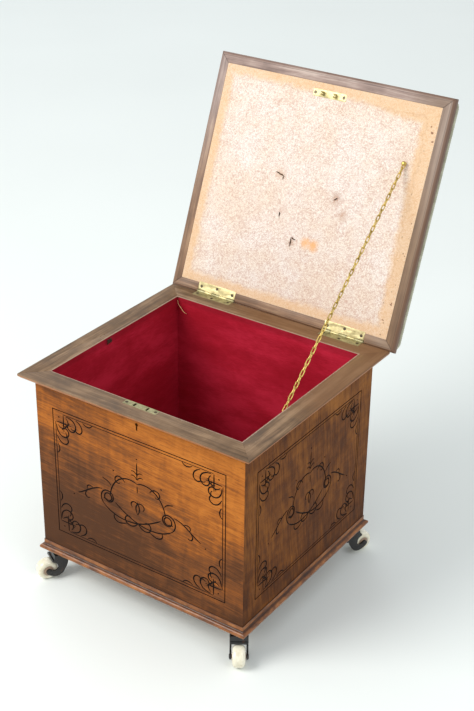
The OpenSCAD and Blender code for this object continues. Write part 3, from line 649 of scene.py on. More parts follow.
def stretched_cloth(name, width, height, place, wrinkle, seed):
    """A sheet over card, level wrinkles growing towards its middle."""
    bpy.ops.mesh.primitive_grid_add(
        x_subdivisions=round(width / cloth_cell), y_subdivisions=round(height / cloth_cell), size=1)
    sheet = bpy.context.object
    sheet.name = name
    for vertex in sheet.data.vertices:
        u, v = vertex.co.x * width, vertex.co.y * height
        edge = min(width / 2 - abs(u), height / 2 - abs(v))
        free = min(1, max(0, edge / slack_from))
        fold = noise.noise((u * 6, v * 34, seed)) + 0.5 * noise.noise((u * 14, v * 70, seed + 3))
        bag = noise.noise((u * 7, v * 7, seed + 9))
        lift = lining_gap + wrinkle * free * (0.5 + 0.5 * fold) + 0.4 * wrinkle * free * (bag + 1)
        vertex.co = (u, v, lift)
    sheet.data.transform(place)
    sheet.data.shade_smooth()
    return sheet


wall_h = lining_top - floor_z
LININGS = {
    "front": (2 * mouth_x, mouth_y, 0.0011), "right": (2 * mouth_y, mouth_x, 0.0013),
    "back": (2 * mouth_x, mouth_y, 0.0014), "left": (2 * mouth_y, mouth_x, 0.0013),
}
for seed, (side, (width, reach, wrinkle)) in enumerate(LININGS.items()):
    inwards = FACING[side].transposed() @ Matrix.Rotation(math.pi, 3, "Y")
    place = Matrix.Translation((0, 0, (floor_z + lining_top) / 2)) @ inwards.to_4x4()
    place = place @ Matrix.Translation((0, 0, -reach - lining_gap))
    sheet = stretched_cloth(f"lining_cloth_{side}", width, wall_h, place, wrinkle, 4.0 * seed + 1)
    settled(sheet, crimson, "crimson_cloth", "box", f"lining_{side}")
sheet = stretched_cloth(
    "lining_cloth_floor", 2 * mouth_x, 2 * mouth_y,
    Matrix.Translation((0, 0, floor_z - lining_gap)), 0.0012, 21.0)
settled(sheet, crimson, "crimson_cloth", "box", "lining_floor")


# ---- Loose thread and scrap of a fitting ----
# A pale thread hangs out of the back left corner of the lining, and a torn
# scrap of an old iron stay is still nailed under the rim on the left.

thread = Finish("loose_thread", Roughness=0.85, Specular_IOR_Level=0.1)
thread.give(Base_Color=thread.shades(
    thread.cloud(thread.place(), 0.004, 3), (0.3, (0.56, 0.27, 0.11)), (0.7, (0.82, 0.52, 0.27))))
back_face = mouth_y - 0.0032
strand = tube("lining_thread", [[
    (-0.176, back_face, 0.38), (-0.1752, back_face, 0.3745), (-0.1728, back_face, 0.3705),
    (-0.169, back_face - 0.0006, 0.368), (-0.1652, back_face - 0.001, 0.364),
    (-0.1618, back_face - 0.0006, 0.3608), (-0.157, back_face, 0.359)]], 0.0007, thin_ends=0.5)
settled(strand, thread, "crimson_cloth", "box")

rust = Finish("rusty_scrap", Roughness=0.85, Metallic=0.3)
crust = rust.cloud(rust.place(), 0.0016, 4, 0.6)
rust.give(Base_Color=rust.shades(crust, (0.3, (0.018, 0.009, 0.006)), (0.7, (0.1, 0.046, 0.024))))
rust.relief(crust, 0.0004, 0.8)
bpy.ops.mesh.primitive_grid_add(x_subdivisions=14, y_subdivisions=10, size=1)
scrap = bpy.context.object
scrap.name = "stay_scrap"
for vertex in scrap.data.vertices:
    u, v = vertex.co.x, vertex.co.y
    ragged = 1 + 0.35 * noise.noise((u * 7, v * 7, 3.0))
    out = 0.0006 + 0.0009 * abs(noise.noise((u * 4, v * 4, 8.0)))
    vertex.co = (-mouth_x + 0.003 + out, -0.0245 + 0.01 * u * ragged, 0.3795 + 0.0075 * v * ragged)
finished_with(scrap, "SOLIDIFY", thickness=0.001)
settled(scrap, rust, "black_iron", "box")


# ---- Lock and hinges ----
# A brass box lock let into the front, its selvedge screwed into the rim, and
# two five-knuckle brass butts on the back rim. Handling has kept the lid's
# leaves yellow, while the plates on the rim have gone a dull green-grey.


def brass(name, dull, bright, tarnish, rough=0.38):
    """Old brass: clear where it is rubbed, darker in blotches and specks."""
    metal = Finish(name, Metallic=0.9, Coat_Weight=0.05)
    spot = metal.place()
    blotch = metal.cloud(spot, 0.011, 4, 0.6)
    specks = metal.fade(metal.cloud(spot, 0.0016, 2, 0.5), 0.66, 0.74)
    scratch = metal.cloud(spot, 0.0008, 3, 0.6, stretch=(0.15, 1, 1))
    colour = metal.tint(blotch, 0.32, 0.66, dull, bright)
    colour = metal.mix(specks * 0.7, colour, tarnish)
    metal.give(Base_Color=colour, Roughness=rough + blotch * 0.2 + specks * 0.2)
    metal.relief(scratch * 0.4 - specks, 0.00006, 0.6)
    return metal


rim_brass = brass(
    "dull_brass", (0.26, 0.23, 0.12), (0.48, 0.44, 0.25), (0.1, 0.085, 0.05), 0.42)
lid_brass = brass(
    "yellow_brass", (0.42, 0.35, 0.17), (0.7, 0.61, 0.33), (0.12, 0.09, 0.04), 0.36)
knuckle_brass = brass(
    "bright_brass", (0.7, 0.6, 0.35), (0.9, 0.82, 0.52), (0.2, 0.15, 0.07), 0.25)
screw_steel = brass(
    "dark_screws", (0.07, 0.055, 0.038), (0.17, 0.135, 0.085), (0.03, 0.02, 0.012), 0.5)

hinge = next(joint for joint in frame["joints"] if joint["name"] == "lid_hinge")
hinge_line = Vector(hinge["pos_m"])
open_turn = math.radians(-hinge["range_deg"][1])
opening = (
    Matrix.Translation(hinge_line)
    @ Matrix.Rotation(open_turn, 4, "X")
    @ Matrix.Translation(-hinge_line)
)
lid_z = 0.3856
slot_w, slot_depth, slot_reach = 0.0006, 0.0007, 0.0023
hinge_x, hinge_screw_gap, mid_screw_y, end_screw_y = 0.127, 0.032, 0.191, 0.194
lock_x, lock_y, lock_screw_x = 0.002, -0.169, 0.027
SCREWS = [(side * hinge_x + i * hinge_screw_gap, end_screw_y if i else mid_screw_y)
          for side in (-1, 1) for i in (-1, 0, 1)]
SCREWS += [(lock_x + side * lock_screw_x, lock_y) for side in (-1, 1)]


def opened(piece):
    """Swings a piece that was made on the shut lid up to where the lid stands."""
    piece.data.transform(opening)
    return piece


def eased(node, name, width=0.0003, segments=2):
    """A fitting's own copy with its edges eased and its curves smooth."""
    piece = own_copy(node, name)
    finished_with(piece, "BEVEL", width=width, segments=segments, limit_method="ANGLE",
                  angle_limit=math.radians(40))
    smoothed(piece, 32)
    return piece


def fitting(node, name, finish, slot, body, width=0.0003, segments=2):
    """A fitting in its CAD shape with eased edges, on its body."""
    return settled(eased(node, name, width, segments), finish, slot, body, node)


def slotted(node, name, height, swung):
    """The node's screws, each with a slot across its head."""
    screws = own_copy(node, name)
    if swung:
        screws.data.transform(opening.inverted())
    for i, (x, y) in enumerate(SCREWS):
        bpy.ops.mesh.primitive_cube_add(
            size=2, location=(x, y, height), rotation=(0, 0, 0.4 + 1.3 * i))
        bpy.context.object.scale = (slot_reach, slot_w / 2, slot_depth)
        cut_from(screws, bpy.context.object)
    return opened(screws) if swung else screws


fitting("lock_selvedge", "lock_selvedge_plate", rim_brass, "brass", "box")
fitting("lock_case", "lock_case_box", rim_brass, "brass", "box")
fitting("lock_bolt", "lock_bolt_plate", rim_brass, "brass", "lock_bolt", 0.0002)
fitting("hinge_pins", "hinge_pin_rods", knuckle_brass, "brass", "box", 0.0003, 3)
for side in ("left", "right"):
    fitting(f"hinge_box_leaf_{side}", f"rim_leaf_{side}", rim_brass, "brass", "box")
    fitting(f"hinge_lid_leaf_{side}", f"lid_leaf_{side}", lid_brass, "brass", "lid")
fitting("lock_link_plate", "lid_link_plate", lid_brass, "brass", "lid")
for node, name, height, body in (("box_screws", "rim_screws", rim_top, "box"),
                                 ("lid_screws", "lid_leaf_screws", lid_z, "lid")):
    settled(slotted(node, name, height, body == "lid"), screw_steel, "brass", body, node)


# ---- Lid frame ----
# Walnut rails mitred round a pine board. They have faded to a greyish mauve
# away from the hinges, and their rounded outer edge has stayed dark.

lid_x, lid_half_d, lid_mid_y = 0.221, 0.205, 0.001
rail_w = 0.018
lid_turn = (-open_turn, 0, 0)
lid_move = hinge_line - Matrix.Rotation(-open_turn, 3, "X") @ hinge_line


def on_lid(finish):
    """Where a point of the open lid lies once the lid is shut."""
    return finish.place(move=lid_move, turn=lid_turn)


def from_edge(finish, x, y):
    """How far a point of the shut lid lies inside its outline."""
    side, end = lid_x - abs(x), lid_half_d - abs(y - lid_mid_y)
    return side, end, side.maths("MINIMUM", side, end)


def rail_wood(name, long_side):
    wood = Finish(name, Roughness=0.45, Coat_Weight=0.08, Coat_Roughness=0.3)
    spot = on_lid(wood)
    x, y, z = wood.axes(spot)
    grain = wood.mapped(spot, turn=(0, 0, 0 if long_side else math.pi / 2))
    bands = wood.cloud(grain, 0.008, 5, 0.62, 0.4, stretch=(0.05, 1, 1))
    threads = wood.cloud(grain, 0.0012, 3, 0.6, stretch=(0.03, 1, 1))
    blotch = wood.cloud(spot, 0.06, 4, 0.6)
    figure = wood.fade(bands * 0.55 + threads * 0.2 + blotch * 0.3, 0.36, 0.68)
    warm = wood.shades(
        figure, (0.0, (0.11, 0.056, 0.03)), (0.5, (0.24, 0.13, 0.07)), (1.0, (0.4, 0.25, 0.14)))
    faded = wood.shades(
        figure, (0.0, (0.15, 0.098, 0.082)), (0.5, (0.31, 0.215, 0.182)), (1.0, (0.5, 0.39, 0.335)))
    colour = wood.mix(wood.fade(y + blotch * 0.08, 0.1, -0.14), warm, faded)
    colour = wood.mix(wood.fade(x, 0.12, 0.21) * 0.65, colour, (0.17, 0.105, 0.06))
    side, end, inwards = from_edge(wood, x, y)
    rounded = wood.fade(inwards, 0.0052, 0.003)
    colour = wood.mix(rounded * 0.7, colour, (0.12, 0.05, 0.024))
    arris = wood.fade(abs(inwards - 0.0056), 0.0007, 0.0002)
    colour = wood.mix(arris * 0.6, colour, (0.06, 0.028, 0.018))
    mitre = wood.fade(abs(side - end), 0.0007, 0.0002) * (inwards < rail_w)
    # Painted shadow: darker along the rail's inner edge, in the gap to the cotton
    inner_edge_shade = wood.fade(inwards, rail_w - 0.0012, rail_w - 0.0002)
    colour = wood.mix(mitre * 0.85, colour, (0.025, 0.014, 0.01))
    colour = wood.mix(inner_edge_shade * 0.5, colour, (0.08, 0.045, 0.03))
    wood.give(Base_Color=colour, Roughness=0.4 + blotch * 0.25 - rounded * 0.08)
    wood.relief(bands * 0.5 + threads * 0.4 - mitre, 0.00018, 0.7)
    return wood


RAILS = {"long": rail_wood("lid_walnut_long", True), "cross": rail_wood("lid_walnut_cross", False)}
for side, way in SIDES.items():
    fitting(f"lid_rail_{side}", f"lid_edge_rail_{side}", RAILS[way], "lid_walnut", "lid")

board_pine = Finish("lid_pine", Roughness=0.85, Specular_IOR_Level=0.2)
spot = on_lid(board_pine)
rings = board_pine.cloud(spot, 0.01, 4, 0.6, 0.8, stretch=(0.06, 1, 1))
board_pine.give(Base_Color=board_pine.tint(
    rings, 0.36, 0.64, (0.06, 0.028, 0.015), (0.15, 0.08, 0.04)))
board_pine.relief(rings, 0.0002)
coated("lid_board", board_pine)


# ---- Printed cotton under the lid ----
# A thin cotton pasted to the board, printed all over with a fine worm-like
# rust line. It is foxed along its edges, puckered and stained, and the dark
# board shows through its tears.

cotton_x, cotton_y = lid_x - rail_w, lid_half_d - rail_w
cotton_face, cotton_cell, cotton_thick = 0.3859, 0.0035, 0.0004
thread_pitch = 0.0009
# The cotton puckers inside these half sizes and clear of the link plate
flat_x, flat_y, bulge_run = 0.172, 0.156, 0.02
plate_l, plate_d, plate_run = 0.0315, 0.0066, 0.012
# Tears: middle, half sizes and turn; each is ragged and lies behind a lifted lip
TEARS = [
    (-0.055, -0.0264, 0.008, 0.0014, 0.25), (-0.048, -0.022, 0.004, 0.0013, 1.6),
    (-0.04, 0.0396, 0.0055, 0.0013, 1.45), (-0.007, 0.0796, 0.0075, 0.0014, 1.5),
    (-0.003, 0.0725, 0.004, 0.0013, 0.15), (0.057, -0.0084, 0.0038, 0.0013, -0.6),
]
calico = Finish("printed_cotton", Roughness=0.9, Sheen_Weight=0.08, Specular_IOR_Level=0.15)
spot = on_lid(calico)
x, y, z = calico.axes(spot)
side, end, inwards = from_edge(calico, x, y)
ground = calico.cloud(spot, 0.07, 4, 0.6)
worm = calico.cloud(spot, 0.0034, 0.5, 0.4, 1.0)
beside = calico.mapped(spot, move=(3, 5, 0))
worm_two = calico.cloud(beside, 0.004, 0.5, 0.4, 1.0)
lines = calico.fade(abs(worm - 0.5), 0.075, 0.03)
lines_two = calico.fade(abs(worm_two - 0.5), 0.06, 0.02)
print_share = lines.maths("MAXIMUM", lines, lines_two * 0.8)
faded = calico.fade(calico.cloud(spot, 0.03, 4, 0.6), 0.3, 0.62, 0.75, 1.0)
colour = calico.tint(ground, 0.34, 0.68, (0.78, 0.67, 0.56), (0.81, 0.75, 0.69))
colour = calico.mix(print_share * faded * 0.55, colour, (0.43, 0.17, 0.1))
edge_noise = calico.cloud(spot, 0.016, 5, 0.65)
broad = calico.fade(x + abs(x) * 0.2 - y * 0.35, 0.1, 0.26, 0.006, 0.02)
foxed = calico.fade(inwards - rail_w - edge_noise * 0.018 - broad, 0.0075, -0.007)
colour = calico.mix(foxed * 0.62, colour, (0.7, 0.42, 0.19))
tide = calico.fade(abs(inwards - rail_w - edge_noise * 0.03 - 0.004), 0.0022, 0.0004)
colour = calico.mix(tide * 0.15, colour, (0.33, 0.13, 0.055))
STAINS = [
    (0.021, 0.074, 0.018, (0.8, 0.38, 0.12), 0.8),
    (0.036, 0.075, 0.018, (0.8, 0.38, 0.12), 0.8),
    (0.057, -0.0084, 0.02, (0.34, 0.15, 0.07), 0.5),
    (-0.055, -0.0264, 0.016, (0.55, 0.33, 0.2), 0.4),
    (-0.038, 0.033, 0.018, (0.5, 0.28, 0.2), 0.35),
    (-0.007, 0.0796, 0.014, (0.4, 0.22, 0.12), 0.5),
    (0.075, 0.015, 0.018, (0.42, 0.2, 0.1), 0.45),
]
for stain_x, stain_y, reach, shade, strength in STAINS:
    away = calico.node(
        "ShaderNodeVectorMath", {"operation": "DISTANCE"}, spot,
        (stain_x, stain_y, cotton_face), out=1)
    blot = calico.fade(away + edge_noise * reach * 1.1, reach * 1.35, reach * 0.55)
    colour = calico.mix(blot * strength, colour, shade)
# Rust spots where nails come through, thickest down the right margin
rust = calico.fade(calico.cloud(spot, 0.0065, 1, 0.5), 0.7, 0.74)
margin = calico.fade(x, 0.165, 0.195, 0.12, 1.0)
colour = calico.mix(rust * margin * 0.8, colour, (0.17, 0.055, 0.02))
weave = x.ripple(thread_pitch) * y.ripple(thread_pitch)
calico.give(Base_Color=colour, Roughness=0.86 + ground * 0.1)
calico.relief(weave * 0.35 + ground * 0.65, 0.0004, 0.5)

bpy.ops.mesh.primitive_grid_add(
    x_subdivisions=round(2 * cotton_x / cotton_cell),
    y_subdivisions=round(2 * cotton_y / cotton_cell),
    size=2, location=(0, lid_mid_y, cotton_face))
cotton = bpy.context.object
cotton.name = "lid_cotton_sheet"
cotton.scale = (cotton_x, cotton_y, 1)
bpy.ops.object.transform_apply(location=True, rotation=True, scale=True)


def from_tear(x, y):
    """How far off the nearest tear is, in its own sizes; 1 at its ragged edge."""
    ragged = (1 + 0.55 * noise.noise((x * 420, y * 420, 2.0))
              + 0.3 * noise.noise((x * 1100, y * 1100, 7.0)))
    away = []
    for mid_x, mid_y, half_l, half_w, turn in TEARS:
        u = (x - mid_x) * math.cos(turn) + (y - mid_y) * math.sin(turn)
        v = (y - mid_y) * math.cos(turn) - (x - mid_x) * math.sin(turn)
        away.append(math.hypot(u / half_l, v / half_w) / ragged)
    return min(away)


def near_tear(reach):
    return [face for face in mesh.faces if from_tear(*face.calc_center_median()[:2]) < reach]


# The mesh is made finer towards each tear, then opened, and its lips lifted
mesh = bmesh.new()
mesh.from_mesh(cotton.data)
for reach in (3.2, 1.9):
    edges = dict.fromkeys(edge for face in near_tear(reach) for edge in face.edges)
    bmesh.ops.subdivide_edges(mesh, edges=list(edges), cuts=1, use_grid_fill=True)
bmesh.ops.delete(mesh, geom=near_tear(1), context="FACES")
for vertex in mesh.verts:
    x, y = vertex.co.x, vertex.co.y
    over_mouth = min(1, max(0, min(flat_x - abs(x), flat_y - abs(y)) / bulge_run))
    past_plate = max(abs(x - lock_x) - plate_l, abs(y - lock_y) - plate_d)
    over_plate = min(1, max(0, past_plate / plate_run))
    pucker = 0.55 + noise.noise((x * 13, y * 17, 1.5)) + 0.5 * noise.noise((x * 38, y * 30, 4.5))
    ridge = max(0, 1 - abs(noise.noise((x * 9, y * 11, 12.0))) * 9)
    lip = max(0, 1.9 - from_tear(x, y)) / 0.9
    curl = 0.0016 * min(1, lip) ** 2 * (0.6 + noise.noise((x * 240, y * 240, 3.0)))
    hang = 0.0004 * max(0, pucker) + 0.0005 * ridge + max(0, curl)
    vertex.co.z -= over_mouth * over_plate * hang
mesh.to_mesh(cotton.data)
mesh.free()
finished_with(cotton, "SOLIDIFY", thickness=cotton_thick, offset=1)
smoothed(cotton, 50)
settled(opened(cotton), calico, "printed_cotton", "lid", "lid_cloth")


# ---- Padded top ----
# A horsehair pad with upright sides and a low crown, covered in pale damask
# with a corded seam round its upper edge.

pad_low, pad_x, pad_half_d = 0.3979, 0.2186, 0.2026
pad_start_h, pad_swell, pad_corner = 0.0225, 0.013, 0.013
pad_crown, crown_run, pad_lump = 0.006, 0.13, 0.0011
voxel, cloth_frames = 0.005, 20

damask = Finish("pad_damask", Sheen_Weight=0.15, Sheen_Roughness=0.35, Specular_IOR_Level=0.3)
spot = on_lid(damask)
x, y, z = damask.axes(spot)
repeat = 0.072
# Waves across and along the lid add up to the figure of the damask
across, along = x * (math.tau / repeat), (y - z) * (math.tau / (repeat * 1.5))
waves = across.cosine() + along.cosine()
twig = (across * 2 + (along * 2).sine() * 1.6).cosine()
leaf, other_leaf = (across * 3 - along * 2).cosine(), (across * 3 + along * 2).cosine()
figure = waves + twig * 0.55 + (leaf + other_leaf) * 0.42
motif = damask.fade(figure, 0.42, 0.56)
outline = damask.fade(abs(figure - 0.49), 0.2, 0.08)
petals = damask.fade(waves - leaf * other_leaf * 0.5, 1.35, 1.48)
threads, wefts = x.ripple(0.0008), (y + z).ripple(0.0007)
age = damask.cloud(spot, 0.07, 4, 0.6)
colour = damask.mix(motif, (0.35, 0.375, 0.32), (0.44, 0.445, 0.385))
colour = damask.mix(outline * 0.35, colour, (0.52, 0.44, 0.47))
colour = damask.mix(petals * 0.45, colour, (0.56, 0.42, 0.46))
colour = damask.mix(damask.fade(age, 0.42, 0.72) * 0.3, colour, (0.46, 0.4, 0.27))
damask.give(Base_Color=colour, Roughness=0.62 - motif * 0.2 + threads * 0.04)
damask.relief(threads * wefts * 0.3 + motif * 0.5 + age * 0.2, 0.0004, 0.5)

bpy.ops.mesh.primitive_cube_add(size=1, location=(0, lid_mid_y, pad_low + pad_start_h / 2))
pad = bpy.context.object
pad.name = "lid_top_pad"
pad.scale = (2 * pad_x - 0.006, 2 * pad_half_d - 0.006, pad_start_h)
bpy.ops.object.transform_apply(location=True, rotation=True, scale=True)
bpy.ops.object.mode_set(mode="EDIT")
bpy.ops.mesh.select_all(action="DESELECT")
edit = bmesh.from_edit_mesh(pad.data)
for edge in edit.edges:
    ends = [vertex.co for vertex in edge.verts]
    edge.select = abs(ends[0].z - ends[1].z) > pad_start_h / 2
bmesh.update_edit_mesh(pad.data)
bpy.ops.mesh.bevel(offset=pad_corner, segments=6)
bpy.ops.object.mode_set(mode="OBJECT")
finished_with(pad, "REMESH", mode="VOXEL", voxel_size=voxel)
flat_places = [vertex.co.copy() for vertex in pad.data.vertices]
held = pad.vertex_groups.new(name="held")
held.add([v.index for v in pad.data.vertices if v.co.z < pad_low + voxel], 1.0, "REPLACE")
cloth = pad.modifiers.new("cloth", "CLOTH")
cloth.settings.use_pressure = True
cloth.settings.uniform_pressure_force = 4
cloth.settings.vertex_group_mass = "held"
cloth.settings.effector_weights.gravity = 0
cloth.point_cache.frame_start, cloth.point_cache.frame_end = 1, cloth_frames
for moment in range(1, cloth_frames + 1):
    bpy.context.scene.frame_set(moment)
select_only(pad)
bpy.ops.object.modifier_apply(modifier=cloth.name)
bpy.context.scene.frame_set(1)
for vertex, flat in zip(pad.data.vertices, flat_places):
    moved = vertex.co - flat
    if moved.length > pad_swell:
        vertex.co = flat + moved * (pad_swell / moved.length)
    # The upright sides stay inside the rails, and horsehair packs unevenly
    vertex.co.x = max(-pad_x, min(pad_x, vertex.co.x))
    vertex.co.y = max(lid_mid_y - pad_half_d, min(lid_mid_y + pad_half_d, vertex.co.y))
    if flat.z > pad_low + pad_start_h / 2:
        edge = min(pad_x - abs(flat.x), pad_half_d - abs(flat.y - lid_mid_y))
        crown = pad_crown * (1 - max(0, 1 - edge / crown_run) ** 2)
        lumps = pad_lump * noise.noise((flat.x * 16, flat.y * 16, 3.0))
        vertex.co.z += crown + lumps
    vertex.co.z = max(pad_low, vertex.co.z)
pad.vertex_groups.clear()
finished_with(pad, "SMOOTH", factor=0.5, iterations=2)
finished_with(pad, "SUBSURF", levels=1, render_levels=1)
pad.data.shade_smooth()

# The corded seam lies on the pad a little in from its upper edge
seam_r, seam_step, seam_inset, seam_corner = 0.0016, 0.006, 0.0035, 0.014
bpy.context.view_layer.update()


def round_outline(half_x, half_y, corner, step):
    """Points round a rectangle with rounded corners, centred on the lid."""
    points = []
    for quarter, (sx, sy) in enumerate(((1, 1), (-1, 1), (-1, -1), (1, -1))):
        for i in range(9):
            turn = math.radians(90 * quarter + 90 * i / 8)
            points.append((sx * (half_x - corner) + corner * math.cos(turn),
                           sy * (half_y - corner) + corner * math.sin(turn)))
    even, closed = [], points + points[:1]
    for (x0, y0), (x1, y1) in zip(closed, closed[1:]):
        count = max(1, round(math.hypot(x1 - x0, y1 - y0) / step))
        even += [(x0 + (x1 - x0) * i / count, y0 + (y1 - y0) * i / count) for i in range(count)]
    return even


seam = []
for x, y in round_outline(pad_x - seam_inset, pad_half_d - seam_inset, seam_corner, seam_step):
    hit, point, normal, _ = pad.ray_cast((x, y + lid_mid_y, pad_low + 0.08), (0, 0, -1))
    if hit:
        seam.append(tuple(point + normal * seam_r * 0.35))
cord = tube("pad_seam_cord", [seam], seam_r, closed=True, sides=2)
cord.data.shade_smooth()
settled(opened(pad), damask, "pad_damask", "lid", "lid_pad")
settled(opened(cord), damask, "pad_damask", "lid")


# ---- Braid ----
# Three strands of pale gimp, plaited flat and glued round the foot of the pad
# over its tacks.

braid_mid, braid_half, braid_pitch, strand_r = 0.4026, 0.0026, 0.0105, 0.00135
braid_x, braid_half_d, braid_corner = 0.2196, 0.2036, 0.0145
gimp = Finish("gimp_braid", Roughness=0.7, Sheen_Weight=0.2, Specular_IOR_Level=0.3)
spot = on_lid(gimp)
x, y, z = gimp.axes(spot)
strands = (x + y + z * 1.6).ripple(0.0011)
soil = gimp.cloud(spot, 0.02, 4, 0.6)
gimp.give(Base_Color=gimp.tint(
    strands * 0.12 + soil, 0.3, 0.7, (0.33, 0.31, 0.2), (0.64, 0.62, 0.47)))
gimp.relief(strands * 0.6 + soil * 0.4, 0.0003, 0.7)

outline = round_outline(braid_x, braid_half_d, braid_corner, 0.0015)
lengths = [0.0]
for (x0, y0), (x1, y1) in zip(outline, outline[1:] + outline[:1]):
    lengths.append(lengths[-1] + math.hypot(x1 - x0, y1 - y0))
plaits = round(lengths[-1] / braid_pitch)
paths = []
for strand in range(3):
    path = []
    for i, (x, y) in enumerate(outline):
        before, after = outline[i - 1], outline[(i + 1) % len(outline)]
        across = Vector((after[1] - before[1], before[0] - after[0])).normalized()
        turn = math.tau * (lengths[i] / lengths[-1] * plaits + strand / 3)
        out = 0.0006 * math.sin(2 * turn)
        path.append((x + across.x * out, y + lid_mid_y + across.y * out,
                     braid_mid + braid_half * math.sin(turn)))
    paths.append(path)
braid = tube("foot_braid", paths, strand_r, closed=True, sides=1)
braid.data.shade_smooth()
settled(opened(braid), gimp, "braid", "lid", "lid_braid")


# ---- Stay chain ----
# Forty-six oval brass links run from a screw eye in the right wall to a
# round-headed screw in the lid. The real chain folds into the box when the lid
# is shut; here it is one fixed mesh, taut as it hangs with the lid open.

eye_hook = Vector((0.174, -0.053, 0.3725))
screw_hook = Vector((0.1624, 0.30813, 0.65757))
behind_eye, behind_neck, chain_slack = 0.0012814, 0.0015856, 0.0001
link_total, link_w, wire_r, link_sway = 46, 0.0066, 0.00095, 9
run = screw_hook - eye_hook
pitch = (run.length + behind_eye + behind_neck - chain_slack) / link_total
inside = pitch + chain_slack
bend_r = link_w / 2 - wire_r
straight = inside / 2 + wire_r - bend_r

chain_brass = brass(
    "chain_brass", (0.38, 0.26, 0.065), (0.74, 0.54, 0.16), (0.12, 0.07, 0.02), 0.26)
bpy.ops.mesh.primitive_torus_add(
    major_radius=bend_r, minor_radius=wire_r, major_segments=20, minor_segments=8)
link = bpy.context.object
link.name = "stay_chain_links"
for vertex in link.data.vertices:
    vertex.co.x += straight if vertex.co.x > 1e-5 else -straight if vertex.co.x < -1e-5 else 0
# The wire's ends meet in a fine gap on one long side
for vertex in link.data.vertices:
    if vertex.co.y > bend_r - wire_r and abs(vertex.co.x) < 1e-5:
        vertex.co.y -= wire_r * 0.25
one_link = link.data.copy()
chain = bmesh.new()
towards = run.to_track_quat("X", "Z").to_matrix().to_4x4()
for i in range(link_total):
    step = one_link.copy()
    sway = math.radians(link_sway * noise.noise((i * 0.73, 4.0, 1.0)))
    turn = Matrix.Rotation((math.pi / 2 if i % 2 == 0 else 0) + sway, 4, "X")
    step.transform(
        Matrix.Translation(eye_hook) @ towards
        @ Matrix.Translation((i * pitch + inside / 2 - behind_eye, 0, 0)) @ turn)
    chain.from_mesh(step)
    bpy.data.meshes.remove(step)
chain.to_mesh(link.data)
chain.free()
bpy.data.meshes.remove(one_link)
link.data.shade_smooth()
settled(link, chain_brass, "brass", None, "stay_chain")
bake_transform(link)

fitting("chain_lid_screw", "chain_screw", chain_brass, "brass", "lid", 0.0002)
fitting("chain_wall_eye", "chain_eye", chain_brass, "brass", "box", 0.0003, 3)


# ---- Casters ----
# Four swivel casters: a black japanned plate and ball race screwed under the
# corner, a horn-shaped fork, and a cream glazed wheel on a riveted axle. The
# glaze is crazed and rubbed brown round the axle.

CASTERS = {"front_right": (0.179, -0.163, -56), "back_right": (0.179, 0.163, 65),
           "back_left": (-0.179, 0.163, 150), "front_left": (-0.179, -0.163, -120)}
trail, wheel_r, wheel_half = 0.027, 0.0175, 0.011
hub_r, bore_r, tread_r, crazing_cell = 0.0062, 0.00305, 0.0066, 0.0042

japan = Finish("black_iron", Metallic=0.1, Coat_Weight=0.5, Coat_Roughness=0.12,
               Specular_IOR_Level=0.3)
spot = japan.place()
rough = japan.cloud(spot, 0.0035, 4, 0.6)
rust = japan.fade(japan.cloud(spot, 0.009, 5, 0.7), 0.6, 0.72)
colour = japan.shades(rough, (0.3, (0.005, 0.005, 0.005)), (0.8, (0.018, 0.016, 0.015)))
japan.give(Base_Color=japan.mix(rust * 0.8, colour, (0.115, 0.042, 0.02)),
           Roughness=0.24 + rough * 0.15 + rust * 0.4)
japan.relief(rough - rust * 0.5, 0.00025, 0.8)

glaze = Finish("glazed_wheel", Coat_Weight=0.8, Coat_Roughness=0.05)
spot = glaze.place()
from_axle = glaze.node("ShaderNodeAttribute", {"attribute_name": "from_axle"}, out=2)
depth = glaze.cloud(spot, 0.012, 3)
cells = glaze.node("ShaderNodeTexVoronoi", {"feature": "DISTANCE_TO_EDGE"},
                   Vector=spot, Scale=1 / crazing_cell)
crazing = glaze.fade(cells, 0.035, 0.01)
faint = glaze.fade(glaze.cloud(spot, 0.008, 2), 0.38, 0.62)
colour = glaze.tint(depth, 0.35, 0.65, (0.72, 0.66, 0.49), (0.85, 0.81, 0.66))
colour = glaze.mix(crazing * faint * 0.45, colour, (0.42, 0.3, 0.16))
edge_noise = glaze.cloud(spot, 0.004, 4, 0.6)
rubbed = glaze.fade(from_axle + edge_noise * 0.0035, 0.0128, 0.0092)
colour = glaze.mix(rubbed * 0.85, colour, (0.19, 0.085, 0.035))
chip = glaze.fade(glaze.cloud(spot, 0.0062, 2, 0.5), 0.72, 0.75)
colour = glaze.mix(chip * 0.8, colour, (0.29, 0.15, 0.07))
glaze.give(Base_Color=colour, Roughness=0.16 + rubbed * 0.4 + chip * 0.4)
glaze.relief(depth * 0.3 - crazing * faint * 0.3 - chip - rubbed * 0.5, 0.0003, 0.5)


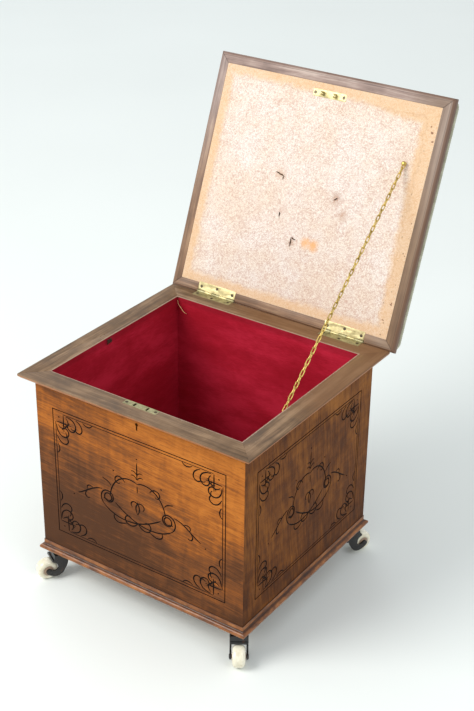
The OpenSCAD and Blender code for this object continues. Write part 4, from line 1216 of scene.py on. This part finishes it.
def turned(name, outline, steps=72):
    """A piece spun round Z from an outline of distances and heights."""
    mesh = bpy.data.meshes.new(name)
    lines = [(i, i + 1) for i in range(len(outline) - 1)]
    mesh.from_pydata([(r, 0, h) for r, h in outline], lines, [])
    piece = placed(name, mesh)
    bpy.ops.object.mode_set(mode="EDIT")
    bpy.ops.mesh.select_all(action="SELECT")
    bpy.ops.mesh.spin(steps=steps, angle=math.tau, center=(0, 0, 0), axis=(0, 0, 1))
    bpy.ops.mesh.select_all(action="SELECT")
    bpy.ops.mesh.remove_doubles(threshold=1e-6)
    bpy.ops.mesh.normals_make_consistent(inside=False)
    bpy.ops.object.mode_set(mode="OBJECT")
    smoothed(piece, 40)
    return piece


face_half = wheel_half - 0.0008
half_outline = [(bore_r, wheel_half), (hub_r - 0.0004, wheel_half), (hub_r, wheel_half - 0.0003),
                (hub_r + 0.0006, face_half - 0.0002), (hub_r + 0.0016, face_half - 0.0004)]
half_outline += [(wheel_r - tread_r + tread_r * math.cos(math.radians(turn)),
                  face_half - tread_r + tread_r * math.sin(math.radians(turn)))
                 for turn in range(90, -1, -9)]
outline = half_outline + [(r, -h) for r, h in reversed(half_outline)] + [half_outline[0]]
model_wheel = turned("model_wheel", outline)
reach = model_wheel.data.attributes.new("from_axle", "FLOAT", "POINT")
reach.data.foreach_set("value", [math.hypot(v.co.x, v.co.y) for v in model_wheel.data.vertices])

for name, (pivot_x, pivot_y, heading) in CASTERS.items():
    axle_place = (
        Matrix.Translation((pivot_x, pivot_y, 0))
        @ Matrix.Rotation(math.radians(heading), 4, "Z")
        @ Matrix.Translation((trail, 0, wheel_r))
        @ Matrix.Rotation(math.pi / 2, 4, "X")
    )
    wheel = placed(f"wheel_glazed_{name}", model_wheel.data.copy())
    wheel.data.transform(axle_place @ Matrix.Rotation(heading, 4, "Z"))
    settled(wheel, glaze, "glazed_wheel", f"wheel_{name}", f"caster_wheel_{name}")
    fitting(f"caster_fork_{name}", f"horn_fork_{name}", japan,
            "black_iron", f"caster_{name}", 0.0011, 3)
    fitting(f"caster_axle_{name}", f"axle_{name}", japan,
            "black_iron", f"caster_{name}", 0.0004, 3)
bpy.data.objects.remove(model_wheel)
fitting("caster_plates", "caster_top_plates", japan, "black_iron", "box", 0.0005)
fitting("caster_screws", "caster_plate_screws", japan, "black_iron", "box", 0.0002)
